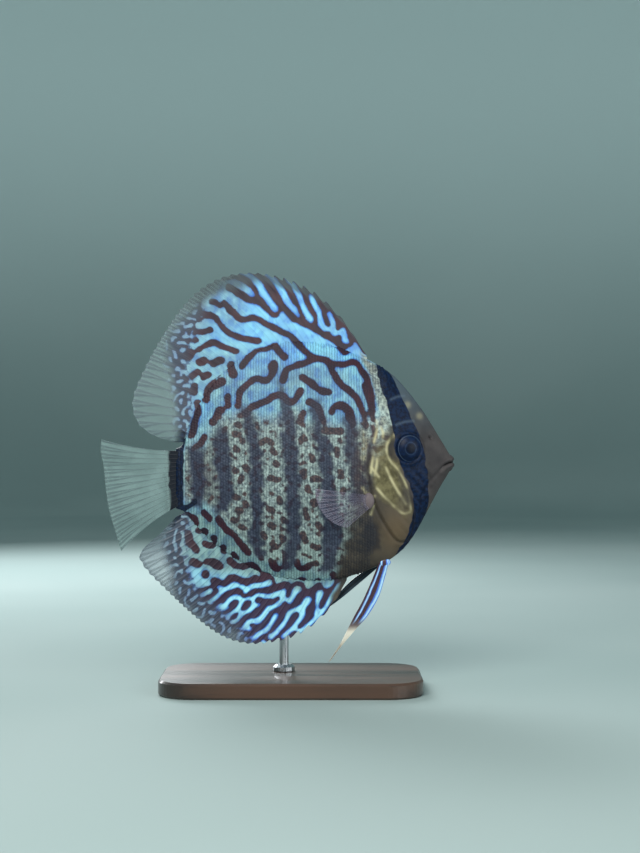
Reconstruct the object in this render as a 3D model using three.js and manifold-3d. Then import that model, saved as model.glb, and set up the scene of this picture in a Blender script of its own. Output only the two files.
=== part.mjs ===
// A life-size discus fish, swimming to the right, on a flat base with one short rod.
// Millimetres, +Z up. The head points along +X and the fish's right side faces -Y.
// The origin is on the floor, under the middle of the whole model.
import * as THREE from "three";
import { mergeVertices } from "three/addons/utils/BufferGeometryUtils.js";
import Module from "manifold-3d";

const wasm = await Module();
wasm.setup();

// Driving dimensions of the body, all others hang on these.
const TAIL_X = -38.4; // where the tail fin starts
const SNOUT_X = 66.9; // front of the skull, behind the lips
const GAP = 0.32; // clearance between neighbouring pieces
const RING_SIDE = 17; // points on one side of a body section

// The display stand's base, and its one rod.
const BASE_CENTRE_X = 6;
const BASE_HALF_LENGTH = 50;
const BASE_HALF_WIDTH = 28;
const BASE_HEIGHT = 6;
const BASE_CORNER = 14;
const BASE_BEVEL = 0.8;
const ROD_X = 3;
const ROD_Y = 5.6; // beside the anal fin, on the far side
const ROD_RADIUS = 1.8;
const ROD_TOP = 66; // inside the flank, which trims it
const COLLAR_RADIUS = 4.2;
const COLLAR_HEIGHT = 2.4;

// Smooth curve through [x, value] pairs, with end slopes taken from the outer pairs.
function through(pairs) {
  const slope = pairs.map((p, i) => {
    const a = pairs[Math.max(i - 1, 0)];
    const b = pairs[Math.min(i + 1, pairs.length - 1)];
    return (b[1] - a[1]) / (b[0] - a[0]);
  });
  return (x) => {
    let i = 0;
    while (i < pairs.length - 2 && x > pairs[i + 1][0]) i += 1;
    const [x0, y0] = pairs[i];
    const [x1, y1] = pairs[i + 1];
    const h = x1 - x0;
    const t = Math.min(Math.max((x - x0) / h, 0), 1);
    const [t2, t3] = [t * t, t * t * t];
    return (
      (2 * t3 - 3 * t2 + 1) * y0 +
      (t3 - 2 * t2 + t) * h * slope[i] +
      (3 * t2 - 2 * t3) * y1 +
      (t3 - t2) * h * slope[i + 1]
    );
  };
}

// The body seen from the side: back and belly heights at each x.
const backHeight = through([
  [-38.4, 92.4], [-35.8, 94.2], [-33, 102.4], [-28, 112.2], [-20.8, 121.4], [-11.6, 128.4],
  [-1.5, 132.6], [8.5, 134], [17.7, 133.2], [26.6, 130.8], [34.7, 127.2], [40.4, 124.1],
  [45.6, 120.4], [51.4, 114], [57.4, 105.9], [63.2, 96.4], [66.9, 90.2],
]);
const bellyHeight = through([
  [-38.4, 69.4], [-35.4, 68.2], [-32, 64.4], [-26.2, 58.2], [-18.5, 52], [-10, 46.9],
  [-0.4, 43.4], [9.3, 41.8], [18.9, 41.8], [27, 43], [33.2, 44.8], [40.1, 47.7],
  [44.6, 50.2], [49.4, 54.2], [53.6, 59.8], [58.4, 68.6], [63.2, 77.6], [66.9, 83.8],
]);
// Height of the widest line, half of the width there, and half-widths of back and belly edges.
const middleHeight = through([
  [-38.4, 80.8], [-20, 82.6], [0, 84], [30, 84.4], [50, 86.4], [66.9, 87],
]);
const halfWidth = through([
  [-38.4, 1.7], [-34, 2.5], [-28, 3.8], [-20, 5.7], [-10, 8], [0, 9.8], [10, 11.1], [20, 11.8],
  [28, 11.9], [36, 11.4], [44, 10.2], [50, 8.9], [56, 7.2], [60, 5.9], [64, 4.3], [66.9, 2.9],
]);
const backEdge = through([
  [-38.4, 1], [-30, 1.1], [30, 1.15], [42, 1.3], [56, 1.6], [66.9, 1.3],
]);
const bellyEdge = through([
  [-38.4, 1], [-30, 1.1], [20, 1.15], [30, 1.9], [42, 2.6], [52, 2], [66.9, 1.2],
]);
// How round a section is: 1 is a pointed lens, and 0.5 is an ellipse.
const roundness = through([
  [-38.4, 0.7], [-20, 0.92], [20, 0.95], [34, 0.86], [50, 0.7], [66.9, 0.56],
]);
const SECTION_POWER = 2.1;

// Half of the body's width at a share of the way from its middle to the back or belly edge.
function sideAt(x, share, upper) {
  const edge = upper ? backEdge(x) : bellyEdge(x);
  const fall = Math.max(1 - share ** SECTION_POWER, 0) ** roundness(x);
  return edge + (halfWidth(x) - edge) * fall;
}

// Half of the body's width at a point of the side view.
function sideAtHeight(x, z) {
  const upper = z > middleHeight(x);
  const edgeHeight = upper ? backHeight(x) : bellyHeight(x);
  const share = (z - middleHeight(x)) / (edgeHeight - middleHeight(x));
  return sideAt(x, Math.min(share, 1), upper);
}

// Stations along the body, closer together where the outline turns fast.
function stationsOf(count) {
  return Array.from({ length: count }, (_, i) => {
    const t = i / (count - 1);
    const eased = t - 0.1 * Math.sin(2 * Math.PI * t);
    return TAIL_X + eased * (SNOUT_X - TAIL_X);
  });
}

// Makes a solid from rings of points, each ring in the same order.
function loft(rings) {
  const count = rings[0].length;
  const places = rings.flat();
  const faces = [];
  for (let r = 0; r < rings.length - 1; r += 1)
    for (let k = 0; k < count; k += 1) {
      const [a, b] = [r * count + k, r * count + ((k + 1) % count)];
      const [c, d] = [a + count, b + count];
      faces.push(a, c, b, b, c, d);
    }
  const last = (rings.length - 1) * count;
  for (let k = 1; k < count - 1; k += 1) {
    faces.push(0, k, k + 1);
    faces.push(last, last + k + 1, last + k);
  }
  return solidFrom(places, faces);
}

// A closed solid from points and triangles, turned the right way out.
function solidFrom(places, faces) {
  const build = (triangles) =>
    new wasm.Manifold(
      new wasm.Mesh({
        numProp: 3,
        vertProperties: new Float32Array(places.flat()),
        triVerts: new Uint32Array(triangles),
      }),
    );
  const made = build(faces);
  return made.volume() > 0 ? made : build([...faces].reverse());
}

// A closed solid from a three.js geometry.
function solidOf(geometry) {
  const bare = geometry.index ? geometry.toNonIndexed() : geometry.clone();
  bare.deleteAttribute("normal");
  bare.deleteAttribute("uv");
  const merged = mergeVertices(bare, 1e-4);
  return new wasm.Manifold(
    new wasm.Mesh({
      numProp: 3,
      vertProperties: new Float32Array(merged.attributes.position.array),
      triVerts: new Uint32Array(merged.index.array),
    }),
  );
}

// The largest closed piece of a solid, as a geometry.
function geometryOf(solid) {
  const pieces = solid.decompose().sort((a, b) => b.volume() - a.volume());
  const mesh = pieces[0].getMesh();
  const places = new Float32Array(mesh.numVert * 3);
  for (let i = 0; i < mesh.numVert; i += 1)
    places.set(mesh.vertProperties.subarray(i * mesh.numProp, i * mesh.numProp + 3), i * 3);
  return new THREE.BufferGeometry()
    .setAttribute("position", new THREE.BufferAttribute(places, 3))
    .setIndex(new THREE.BufferAttribute(mesh.triVerts, 1));
}

// The whole body from snout to tail, grown or shrunk all round by some millimetres.
function bodySolid(grow, stations) {
  const last = stations.length - 1;
  const rings = stations.map((x, i) => {
    const step = 0.5;
    const tilt = (f) => Math.hypot(1, (f(x + step) - f(x - step)) / (2 * step));
    const top = backHeight(x) + grow * tilt(backHeight);
    const bottom = bellyHeight(x) - grow * tilt(bellyHeight);
    const middle = middleHeight(x);
    const place = x + (i === 0 ? -grow : i === last ? grow : 0);
    const side = (sign) =>
      Array.from({ length: RING_SIDE }, (_, k) => {
        const angle = (-0.5 + k / (RING_SIDE - 1)) * Math.PI;
        const share = Math.abs(Math.sin(angle));
        const upper = angle > 0;
        const reach = upper ? top - middle : bottom - middle;
        return [place, sign * (sideAt(x, share, upper) + grow), middle + share * reach];
      });
    return [...side(-1), ...side(1).reverse()];
  });
  return loft(rings);
}

// An upright wall through the body: an outline of [x, z] points, drawn out along Y.
const WALL_HALF = 40;
function wall(outline, from = -WALL_HALF, to = WALL_HALF) {
  const shape = new THREE.Shape(outline.map(([x, z]) => new THREE.Vector2(x, z)));
  const block = new THREE.ExtrudeGeometry(shape, { depth: to - from, bevelEnabled: false });
  return solidOf(block.rotateX(Math.PI / 2).translate(0, to, 0));
}

// An ellipsoid turned about the upright axis.
function ellipsoid(centre, radii, turn = 0, segments = 20) {
  const ball = new THREE.SphereGeometry(1, segments, Math.round(segments * 0.7));
  ball.rotateX(Math.PI / 2).scale(...radii).rotateZ(turn).translate(...centre);
  return solidOf(ball);
}

// Points of a smooth open curve through [x, z] points, evenly spaced.
function samples(points, count) {
  const curve = new THREE.CatmullRomCurve3(points.map(([x, z]) => new THREE.Vector3(x, 0, z)));
  return curve.getSpacedPoints(count - 1).map((p) => [p.x, p.z]);
}

// A point at a share of the length of a smooth curve through 3-D points.
function alongCurve(points) {
  const curve = new THREE.CatmullRomCurve3(points.map((p) => new THREE.Vector3(...p)));
  return (share) => curve.getPointAt(Math.min(Math.max(share, 0), 1));
}

// A thin fin: middle points and half-thicknesses on a grid, the same triangles on both faces.
function sheet(columns, rows, middle, half, across) {
  const places = [];
  for (const sign of [-1, 1])
    for (let j = 0; j < rows; j += 1)
      for (let i = 0; i < columns; i += 1) {
        const at = middle(i / (columns - 1), j / (rows - 1), i).clone();
        at.addScaledVector(across, sign * half(i, j / (rows - 1)));
        places.push([at.x, at.y, at.z]);
      }
  const other = columns * rows;
  const faces = [];
  for (let j = 0; j < rows - 1; j += 1)
    for (let i = 0; i < columns - 1; i += 1) {
      const [a, b] = [j * columns + i, j * columns + i + 1];
      const [c, d] = [a + columns, b + columns];
      faces.push(a, b, d, a, d, c);
      faces.push(other + a, other + d, other + b, other + a, other + c, other + d);
    }
  const border = [
    ...Array.from({ length: columns - 1 }, (_, i) => i),
    ...Array.from({ length: rows - 1 }, (_, j) => j * columns + columns - 1),
    ...Array.from({ length: columns - 1 }, (_, i) => rows * columns - 1 - i),
    ...Array.from({ length: rows - 1 }, (_, j) => (rows - 1 - j) * columns),
  ];
  border.forEach((a, k) => {
    const b = border[(k + 1) % border.length];
    faces.push(a, other + a, b, b, other + a, other + b);
  });
  return solidFrom(places, faces);
}

const mix = (a, b, t) => a + (b - a) * t;

// The median fins: base along the body's edge, margin out in the water, rays between them.
// Ridges stand at every ray, and the membrane between two rays is the thinner column.
const FIN_ROOT_HALF = 1.0;
const FIN_ROOT_GAP = 0.42; // measured across the body's edge, where facets may come closer
const FIN_ROWS = 6;
function medianFin({ rays, spines, base, margin, marginShare, bend, sway, notch, tipHalf }) {
  const baseAt = alongCurve(base);
  const marginAt = alongCurve(margin);
  const columns = 2 * rays - 1;
  const middle = (u, v, i) => {
    const root = baseAt(u);
    const tip = marginAt(marginShare(u));
    const spiny = Math.max(0, 1 - (u * rays) / (spines + 2));
    const cut = i % 2 ? notch * (0.25 + spiny) : 0;
    const out = root.clone().lerp(tip, v * (1 - cut * v));
    const along = tip.clone().sub(root);
    const bow = bend * 4 * v * (1 - v);
    out.x += -along.z * bow;
    out.z += along.x * bow;
    out.y += sway(u) * v * v;
    return out;
  };
  const half = (i, v) => {
    const ridge = mix(FIN_ROOT_HALF, tipHalf, Math.min(v * 1.15, 1) ** 0.7);
    return i % 2 ? Math.max(ridge * 0.62, v < 0.02 ? FIN_ROOT_HALF : 0.27) : ridge;
  };
  return sheet(columns, FIN_ROWS, middle, half, new THREE.Vector3(0, 1, 0));
}

// Points just clear of the body's edge, from one x to another.
function edgePath(height, side, from, to, count) {
  return Array.from({ length: count }, (_, i) => {
    const x = mix(from, to, i / (count - 1));
    const step = 0.4;
    const slope = (height(x + step) - height(x - step)) / (2 * step);
    const length = Math.hypot(1, slope);
    const away = side * FIN_ROOT_GAP;
    return [x - (away * slope) / length, 0, height(x) + away / length];
  });
}

const dorsalFin = medianFin({
  rays: 40,
  spines: 9,
  base: edgePath(backHeight, 1, 35.6, -35.4, 26),
  margin: [
    [34.9, 0, 128.6], [30.6, 0, 135.4], [25.1, 0, 143.2], [18.9, 0, 149.6], [12, 0, 154.6],
    [2, 0, 158.6], [-9.3, 0, 160.3], [-21.3, 0, 158.4], [-33, 0, 150.6], [-44.5, 0, 134.9],
    [-53, 0, 119], [-55.7, 0, 110], [-53.6, 0, 102.6], [-47.4, 0, 97.6], [-38.6, 0, 94.9],
  ],
  marginShare: through([[0, 0], [0.1, 0.2], [0.3, 0.39], [0.5, 0.55], [0.75, 0.72], [0.9, 0.87], [1, 1]]),
  bend: -0.03,
  sway: (u) => 1.5 * Math.sin(9 * u) * u,
  notch: 0.1,
  tipHalf: 0.3,
});

const analFin = medianFin({
  rays: 36,
  spines: 8,
  base: edgePath(bellyHeight, -1, 27.6, -35, 26),
  margin: [
    [27.2, 0, 41.6], [24.2, 0, 35.8], [19.6, 0, 29.4], [13.9, 0, 24.1], [6.9, 0, 20],
    [-1.2, 0, 17.9], [-9.3, 0, 17.2], [-17, 0, 18.6], [-24, 0, 22], [-33, 0, 29],
    [-43.6, 0, 39.1], [-50.4, 0, 46.4], [-52.6, 0, 51], [-50.4, 0, 54.6], [-45, 0, 59.4],
    [-38.2, 0, 66.4],
  ],
  marginShare: through([[0, 0], [0.1, 0.2], [0.3, 0.4], [0.5, 0.54], [0.75, 0.7], [0.9, 0.84], [1, 1]]),
  bend: 0.03,
  sway: (u) => -1.3 * Math.sin(8 * u) * u,
  notch: 0.1,
  tipHalf: 0.3,
});

// The tail fin: branched rays, so that each ray carries two ridges towards the edge.
const TAIL_RAYS = 15;
const TAIL_ROWS = 7;
const TAIL_SWAY = 4.5; // the edge drifts towards the far side
function tailFin() {
  const rootX = TAIL_X - FIN_ROOT_GAP;
  const rootAt = alongCurve([[rootX, 0, 91.6], [rootX, 0, 81], [rootX, 0, 70.2]]);
  const edgeAt = alongCurve([
    [-67.9, 0, 96], [-68.2, 0, 91.6], [-67, 0, 84.6], [-66.2, 0, 77], [-65, 0, 69.6],
    [-62.8, 0, 61.4], [-60.2, 0, 52.6],
  ]);
  const columns = TAIL_RAYS * 4 - 1;
  const middle = (u, v) => {
    const root = rootAt(u);
    const edge = edgeAt(u);
    const out = root.clone().lerp(edge, v);
    const outer = Math.abs(2 * u - 1) ** 3;
    out.z += outer * (u < 0.5 ? -1.1 : 1.7) * 4 * v * (1 - v);
    out.y += TAIL_SWAY * v * v + 0.7 * Math.sin(7 * u) * v;
    return out;
  };
  const half = (i, v) => {
    const ridge = mix(FIN_ROOT_HALF, 0.32, Math.min(v * 1.2, 1) ** 0.7);
    const place = i % 4;
    const forked = Math.min(Math.max((v - 0.35) / 0.2, 0), 1);
    if (v < 0.02) return FIN_ROOT_HALF;
    if (place === 3) return Math.max(ridge * 0.6, 0.27);
    if (place === 1) return Math.max(ridge * mix(1, 0.75, forked), 0.27);
    return Math.max(ridge * mix(0.8, 1, forked), 0.3);
  };
  return sheet(columns, TAIL_ROWS, middle, half, new THREE.Vector3(0, 1, 0));
}

// A breast fin: a fan of rays swept back and held a little away from the flank.
const BREAST_ROOT = { x: 34.8, z: 72.8 };
const BREAST_SPLAY = 0.25; // radians
const BREAST_RAYS = 11;
function breastFin(sign) {
  const rootY = sideAtHeight(BREAST_ROOT.x, BREAST_ROOT.z) + 0.9;
  const middle = (u, v) => {
    const angle = mix(2.95, 3.95, u); // from just above straight back to steeply down
    const length = mix(22.5, 12.5, u ** 1.2) * (1 - 0.06 * (1 - u) * (1 - u));
    const out = v * length;
    const back = Math.cos(angle) * out + 1.2;
    const rise = Math.sin(angle) * out + mix(2.1, -2.3, u) * (1 - v * 0.6);
    const lean = BREAST_SPLAY * -back + 0.6 * Math.sin(5 * u) * v;
    return new THREE.Vector3(BREAST_ROOT.x + back, sign * (rootY + lean), BREAST_ROOT.z + rise);
  };
  const half = (i, v) => {
    const ridge = mix(0.75, 0.3, Math.min(v * 1.3, 1));
    return i % 2 ? Math.max(ridge * 0.6, 0.26) : ridge;
  };
  const across = new THREE.Vector3(Math.sin(BREAST_SPLAY) * sign, Math.cos(BREAST_SPLAY), 0);
  const fan = sheet(2 * BREAST_RAYS - 1, 6, middle, half, across);
  const root = ellipsoid([BREAST_ROOT.x + 0.6, sign * (rootY - 0.4), BREAST_ROOT.z], [2.2, 1.3, 3.1], 0, 12);
  return fan.add(root);
}

// A belly fin: a spine and five rays between a front and a rear edge, ending in a streamer.
const BELLY_RAYS = 6;
function bellyFin({ front, rear, root }) {
  const frontAt = alongCurve(front);
  const rearAt = alongCurve(rear);
  const middle = (u, v) => frontAt(v).lerp(rearAt(v), u);
  const half = (i, v) => {
    const ridge = mix(0.95, 0.32, v ** 0.6) * (i === 0 ? 1.15 : 1);
    return i % 2 ? Math.max(ridge * 0.62, 0.26) : ridge;
  };
  const fin = sheet(2 * BELLY_RAYS - 1, 11, middle, half, new THREE.Vector3(0, 1, 0));
  return fin.add(ellipsoid(root, [2.9, 1.25, 1.9], 0, 12));
}

// Right one hangs down to a pale streamer, left one lies back beside the anal fin.
const bellyFinRight = bellyFin({
  front: [
    [43.6, -3, 50.2], [41.9, -3.6, 43.4], [39.7, -4.3, 36.4], [35.6, -4.9, 29.2],
    [30.8, -5.3, 23.7], [25.6, -5.5, 17.6], [20.8, -5.6, 11.3],
  ],
  rear: [
    [39.4, -2.9, 48.2], [36.4, -3.5, 41], [33.4, -4.1, 34.4], [30.2, -4.7, 28.6],
    [27.4, -5.2, 23.2], [24.4, -5.5, 17.4], [20.2, -5.6, 11],
  ],
  root: [41.6, -2.9, 48.9],
});
const bellyFinLeft = bellyFin({
  front: [
    [42.8, 3, 49.4], [36.6, 3.5, 44], [31, 3.9, 39.2], [25.5, 4.2, 34.6], [19, 4.5, 29.8],
    [12.5, 4.7, 25.4],
  ],
  rear: [
    [38.8, 2.9, 47.9], [34, 3.4, 45], [29.5, 3.8, 41.6], [24.6, 4.2, 36.9], [18.3, 4.5, 30.8],
    [12, 4.7, 26],
  ],
  root: [41, 2.9, 48.6],
});

// The head's features. Everything here is on the right side and mirrored for the left.
const EYE = { x: 50.7, z: 92.6, turn: 0.24, radii: [5.6, 3.5, 6.1], sink: 2.1 };
const eyeY = sideAtHeight(EYE.x, EYE.z) - EYE.sink;
const eyeCentre = (sign) => [EYE.x, sign * eyeY, EYE.z];
const eyeSolid = (sign, grow) =>
  ellipsoid(eyeCentre(sign), EYE.radii.map((r) => r + grow), -sign * EYE.turn, 18);

function eyeRim(sign) {
  const ring = new THREE.TorusGeometry(1, 0.15, 6, 22);
  ring.scale(EYE.radii[0] + 0.5, EYE.radii[2] + 0.5, 5.2);
  ring.rotateX(Math.PI / 2).rotateZ(-sign * EYE.turn);
  ring.translate(EYE.x, sign * (eyeY + EYE.sink - 0.35), EYE.z);
  return solidOf(ring);
}

const NOSTRIL = { x: 59.2, z: 96.8, radius: 0.75 };
function nostril(sign) {
  const y = sign * sideAtHeight(NOSTRIL.x, NOSTRIL.z);
  return ellipsoid([NOSTRIL.x, y, NOSTRIL.z], [NOSTRIL.radius, 1.6, NOSTRIL.radius * 1.2], 0, 10);
}

// The lips stand proud of the snout, and the mouth is a slit that turns down at its corners.
const LIP_TOP = { centre: [66.2, 0, 89.2], radii: [2.1, 3.3, 1.7] };
const LIP_LOW = { centre: [65.9, 0, 85.6], radii: [2.2, 3.1, 1.7] };
const MOUTH_OUTLINE = [
  [72, 87.9], [68, 87.7], [65.6, 86.9], [63.4, 85.2], [62.9, 84.4], [63.8, 84.9], [65.8, 86.4],
  [68, 87.1], [72, 87.2],
];

// The gill cover's outline, front edge down and rear edge up.
const COVER_OUTLINE = samples(
  [
    [42.2, 102.2], [44.4, 98], [43.2, 92], [44.8, 85.6], [48.6, 79], [52, 71.6], [52.9, 64.6],
    [50.9, 57.8], [47, 57.2], [42.6, 62.6], [38.8, 69.6], [36.2, 77.4], [35.4, 86],
    [36.4, 94.4], [39.2, 100.6], [42.2, 102.2],
  ],
  31,
).slice(0, -1);
const COVER_PROUD = 0.45;
const COVER_DEPTH = 1.6;

// Moves an outline's points outwards, away from its middle line.
function grown(outline, by) {
  return outline.map((p, i) => {
    const a = outline[(i + outline.length - 1) % outline.length];
    const b = outline[(i + 1) % outline.length];
    const length = Math.hypot(b[0] - a[0], b[1] - a[1]);
    return [p[0] - (by * (b[1] - a[1])) / length, p[1] + (by * (b[0] - a[0])) / length];
  });
}

// Where the head, trunk and tail stem part, as lines of [x, z] from above to below.
const NECK_LINE = samples(
  [
    [38.6, 150], [37.6, 128], [35.6, 114], [33.9, 100], [33.2, 88], [34.4, 76], [37.6, 66],
    [42, 57.6], [47, 51.4], [52, 44], [58, 30],
  ],
  18,
);
const STEM_LINE = samples([[-26.5, 150], [-26.5, 112], [-28.5, 84], [-26.5, 58], [-26.5, 30]], 8);
const shifted = (line, by) => line.map(([x, z]) => [x + by, z]);
const regionAhead = (line) => [...shifted(line, GAP / 2), [90, 30], [90, 150]];
const regionBehind = (line) => [...shifted(line, -GAP / 2), [-60, 30], [-60, 150]];

const stations = stationsOf(42);
const body = bodySolid(0, stations);
const clearOfBody = bodySolid(GAP, stations);

const coverHole = wall(grown(COVER_OUTLINE, GAP));
const coverBlock = wall(COVER_OUTLINE);
const coverSkin = bodySolid(COVER_PROUD, stations).subtract(bodySolid(-COVER_DEPTH, stations));
const coverBed = bodySolid(1.5, stations).subtract(bodySolid(-COVER_DEPTH - GAP, stations));

const clearOfCover = bodySolid(COVER_PROUD + GAP, stations).intersect(coverHole);

function gillCover(sign) {
  const half = sign > 0 ? wall(COVER_OUTLINE, 1, WALL_HALF) : wall(COVER_OUTLINE, -WALL_HALF, -1);
  return coverSkin.intersect(coverBlock).intersect(half);
}

const headRaw = body
  .intersect(wall(regionAhead(NECK_LINE)))
  .subtract(coverBed.intersect(coverHole))
  .add(eyeRim(-1))
  .add(eyeRim(1))
  .subtract(eyeSolid(-1, GAP))
  .subtract(eyeSolid(1, GAP))
  .add(ellipsoid(LIP_TOP.centre, LIP_TOP.radii, 0, 16))
  .add(ellipsoid(LIP_LOW.centre, LIP_LOW.radii, 0, 16));
const head = headRaw
  .subtract(nostril(-1))
  .subtract(nostril(1))
  .subtract(wall(MOUTH_OUTLINE));

const trunk = body.intersect(wall(regionBehind(NECK_LINE))).intersect(wall(regionAhead(STEM_LINE)));
const tailStem = body.intersect(wall(regionBehind(STEM_LINE)));

// The stand: a low base with rounded corners, and a rod in a collar that meets the far flank.
function standBase() {
  const inset = BASE_BEVEL;
  const [a, b, r] = [BASE_HALF_LENGTH - inset, BASE_HALF_WIDTH - inset, BASE_CORNER - inset];
  const shape = new THREE.Shape();
  shape.moveTo(-a + r, -b);
  shape.lineTo(a - r, -b);
  shape.absarc(a - r, -b + r, r, -Math.PI / 2, 0, false);
  shape.absarc(a - r, b - r, r, 0, Math.PI / 2, false);
  shape.absarc(-a + r, b - r, r, Math.PI / 2, Math.PI, false);
  shape.absarc(-a + r, -b + r, r, Math.PI, 1.5 * Math.PI, false);
  const block = new THREE.ExtrudeGeometry(shape, {
    depth: BASE_HEIGHT - 2 * inset,
    bevelThickness: inset,
    bevelSize: inset,
    bevelSegments: 1,
    curveSegments: 6,
  });
  return solidOf(block.translate(BASE_CENTRE_X, 0, inset));
}

function standRod() {
  const foot = BASE_HEIGHT + GAP;
  const profile = [
    [0, foot], [COLLAR_RADIUS, foot], [COLLAR_RADIUS, foot + COLLAR_HEIGHT * 0.6],
    [COLLAR_RADIUS * 0.75, foot + COLLAR_HEIGHT], [ROD_RADIUS, foot + COLLAR_HEIGHT],
    [ROD_RADIUS, ROD_TOP], [0, ROD_TOP],
  ];
  const turned = new THREE.LatheGeometry(profile.map((p) => new THREE.Vector2(...p)), 16);
  const upright = solidOf(turned.rotateX(Math.PI / 2).translate(ROD_X, ROD_Y, 0));
  return upright.subtract(clearOfBody);
}

const looks = {
  skin: { color: 0x6f7f86, roughness: 0.4 },
  head: { color: 0x6b6148, roughness: 0.4 },
  fin: { color: 0x6d9fb4, roughness: 0.45 },
  clearFin: { color: 0x9db1ad, roughness: 0.4 },
  eye: { color: 0x0e1420, roughness: 0.12 },
  base: { color: 0x2b241f, roughness: 0.5 },
  rod: { color: 0xa8a49b, roughness: 0.3, metalness: 0.9 },
};

const discus = new THREE.Group();
function place(name, solid, look) {
  const mesh = new THREE.Mesh(geometryOf(solid), new THREE.MeshStandardMaterial(looks[look]));
  mesh.name = name;
  discus.add(mesh);
}

place("head", head, "head");
place("gill_cover_right", gillCover(-1), "head");
place("gill_cover_left", gillCover(1), "head");
place("eye_right", eyeSolid(-1, 0), "eye");
place("eye_left", eyeSolid(1, 0), "eye");
place("trunk", trunk, "skin");
place("tail_stem", tailStem, "skin");
place("dorsal_fin", dorsalFin, "fin");
place("anal_fin", analFin, "fin");
place("tail_fin", tailFin(), "clearFin");
place("pectoral_fin_right", breastFin(-1).subtract(clearOfBody).subtract(clearOfCover), "clearFin");
place("pectoral_fin_left", breastFin(1).subtract(clearOfBody).subtract(clearOfCover), "clearFin");
place("pelvic_fin_right", bellyFinRight.subtract(clearOfBody), "fin");
place("pelvic_fin_left", bellyFinLeft.subtract(clearOfBody), "fin");
place("stand_base", standBase(), "base");
place("stand_rod", standRod(), "rod");

export default discus;
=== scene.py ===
"""A discus fish on its display stand: skin, scales, fins, eyes and stand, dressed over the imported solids."""
import math

import bpy
import numpy as np
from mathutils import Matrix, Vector


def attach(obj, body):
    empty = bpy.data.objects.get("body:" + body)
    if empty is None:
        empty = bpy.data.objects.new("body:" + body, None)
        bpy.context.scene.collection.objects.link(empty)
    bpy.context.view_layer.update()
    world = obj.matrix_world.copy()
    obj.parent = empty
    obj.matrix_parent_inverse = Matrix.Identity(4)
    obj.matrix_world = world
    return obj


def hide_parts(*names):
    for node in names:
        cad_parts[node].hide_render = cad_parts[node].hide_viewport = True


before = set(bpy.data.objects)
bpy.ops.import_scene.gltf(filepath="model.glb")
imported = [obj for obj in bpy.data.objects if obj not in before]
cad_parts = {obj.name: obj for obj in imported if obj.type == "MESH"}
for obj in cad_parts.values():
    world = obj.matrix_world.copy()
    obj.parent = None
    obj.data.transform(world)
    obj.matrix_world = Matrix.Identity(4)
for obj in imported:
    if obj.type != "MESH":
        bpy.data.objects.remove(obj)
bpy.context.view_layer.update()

MM = 0.001
MM_PER_PIXEL = 0.3855  # size of a photo pixel at the fish
PHOTO_MIDDLE_X = 276.0  # photo column over the frame's origin
PHOTO_LOW_Y = 660.0  # photo row of the lowest fin tip
LOWEST_TIP = 11.0  # height of that tip above the floor, mm
PHOTO_HEIGHT = 853


def to_mm(column, row):
    """A point of the photo as x and z in the fish's middle plane, in millimetres."""
    x = (np.asarray(column, float) - PHOTO_MIDDLE_X) * MM_PER_PIXEL
    z = LOWEST_TIP + (PHOTO_LOW_Y - np.asarray(row, float)) * MM_PER_PIXEL
    return x, z


def to_photo(x, z):
    """Where a point of the middle plane lies in the photo, in pixels."""
    column = np.asarray(x) / MM_PER_PIXEL + PHOTO_MIDDLE_X
    row = PHOTO_LOW_Y - (np.asarray(z) - LOWEST_TIP) / MM_PER_PIXEL
    return column, row


def through(pairs):
    """A smooth curve through [x, value] pairs, as a function of arrays."""
    px, py = np.array(pairs, float).T
    before = np.maximum(np.arange(len(px)) - 1, 0)
    after = np.minimum(np.arange(len(px)) + 1, len(px) - 1)
    slope = (py[after] - py[before]) / (px[after] - px[before])

    def value(x):
        x = np.asarray(x, float)
        i = np.clip(np.searchsorted(px, x, side="right") - 1, 0, len(px) - 2)
        h = px[i + 1] - px[i]
        t = np.clip((x - px[i]) / h, 0, 1)
        t2, t3 = t * t, t * t * t
        near = (2 * t3 - 3 * t2 + 1) * py[i] + (t3 - 2 * t2 + t) * h * slope[i]
        return near + (3 * t2 - 2 * t3) * py[i + 1] + (t3 - t2) * h * slope[i + 1]

    return value


def ramp(low, high, value):
    """A smooth step from 0 at low to 1 at high."""
    t = np.clip((np.asarray(value, float) - low) / (high - low), 0, 1)
    return t * t * (3 - 2 * t)


def bell(distance, width):
    """1 at no distance, falling smoothly to almost 0 at twice the width."""
    return np.exp(-((distance / width) ** 2))


# The body's shape, in millimetres, by the same named curves as the solids.
TAIL_X, SNOUT_X = -38.4, 66.9
SECTION_POWER = 2.1
back_height = through([
    [-38.4, 92.4], [-35.8, 94.2], [-33, 102.4], [-28, 112.2], [-20.8, 121.4], [-11.6, 128.4],
    [-1.5, 132.6], [8.5, 134], [17.7, 133.2], [26.6, 130.8], [34.7, 127.2], [40.4, 124.1],
    [45.6, 120.4], [51.4, 114], [57.4, 105.9], [63.2, 96.4], [66.9, 90.2],
])
belly_height = through([
    [-38.4, 69.4], [-35.4, 68.2], [-32, 64.4], [-26.2, 58.2], [-18.5, 52], [-10, 46.9],
    [-0.4, 43.4], [9.3, 41.8], [18.9, 41.8], [27, 43], [33.2, 44.8], [40.1, 47.7],
    [44.6, 50.2], [49.4, 54.2], [53.6, 59.8], [58.4, 68.6], [63.2, 77.6], [66.9, 83.8],
])
middle_height = through([
    [-38.4, 80.8], [-20, 82.6], [0, 84], [30, 84.4], [50, 86.4], [66.9, 87],
])
half_width = through([
    [-38.4, 1.7], [-34, 2.5], [-28, 3.8], [-20, 5.7], [-10, 8], [0, 9.8], [10, 11.1], [20, 11.8],
    [28, 11.9], [36, 11.4], [44, 10.2], [50, 8.9], [56, 7.2], [60, 5.9], [64, 4.3], [66.9, 2.9],
])
back_edge = through([[-38.4, 1], [-30, 1.1], [30, 1.15], [42, 1.3], [56, 1.6], [66.9, 1.3]])
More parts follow.
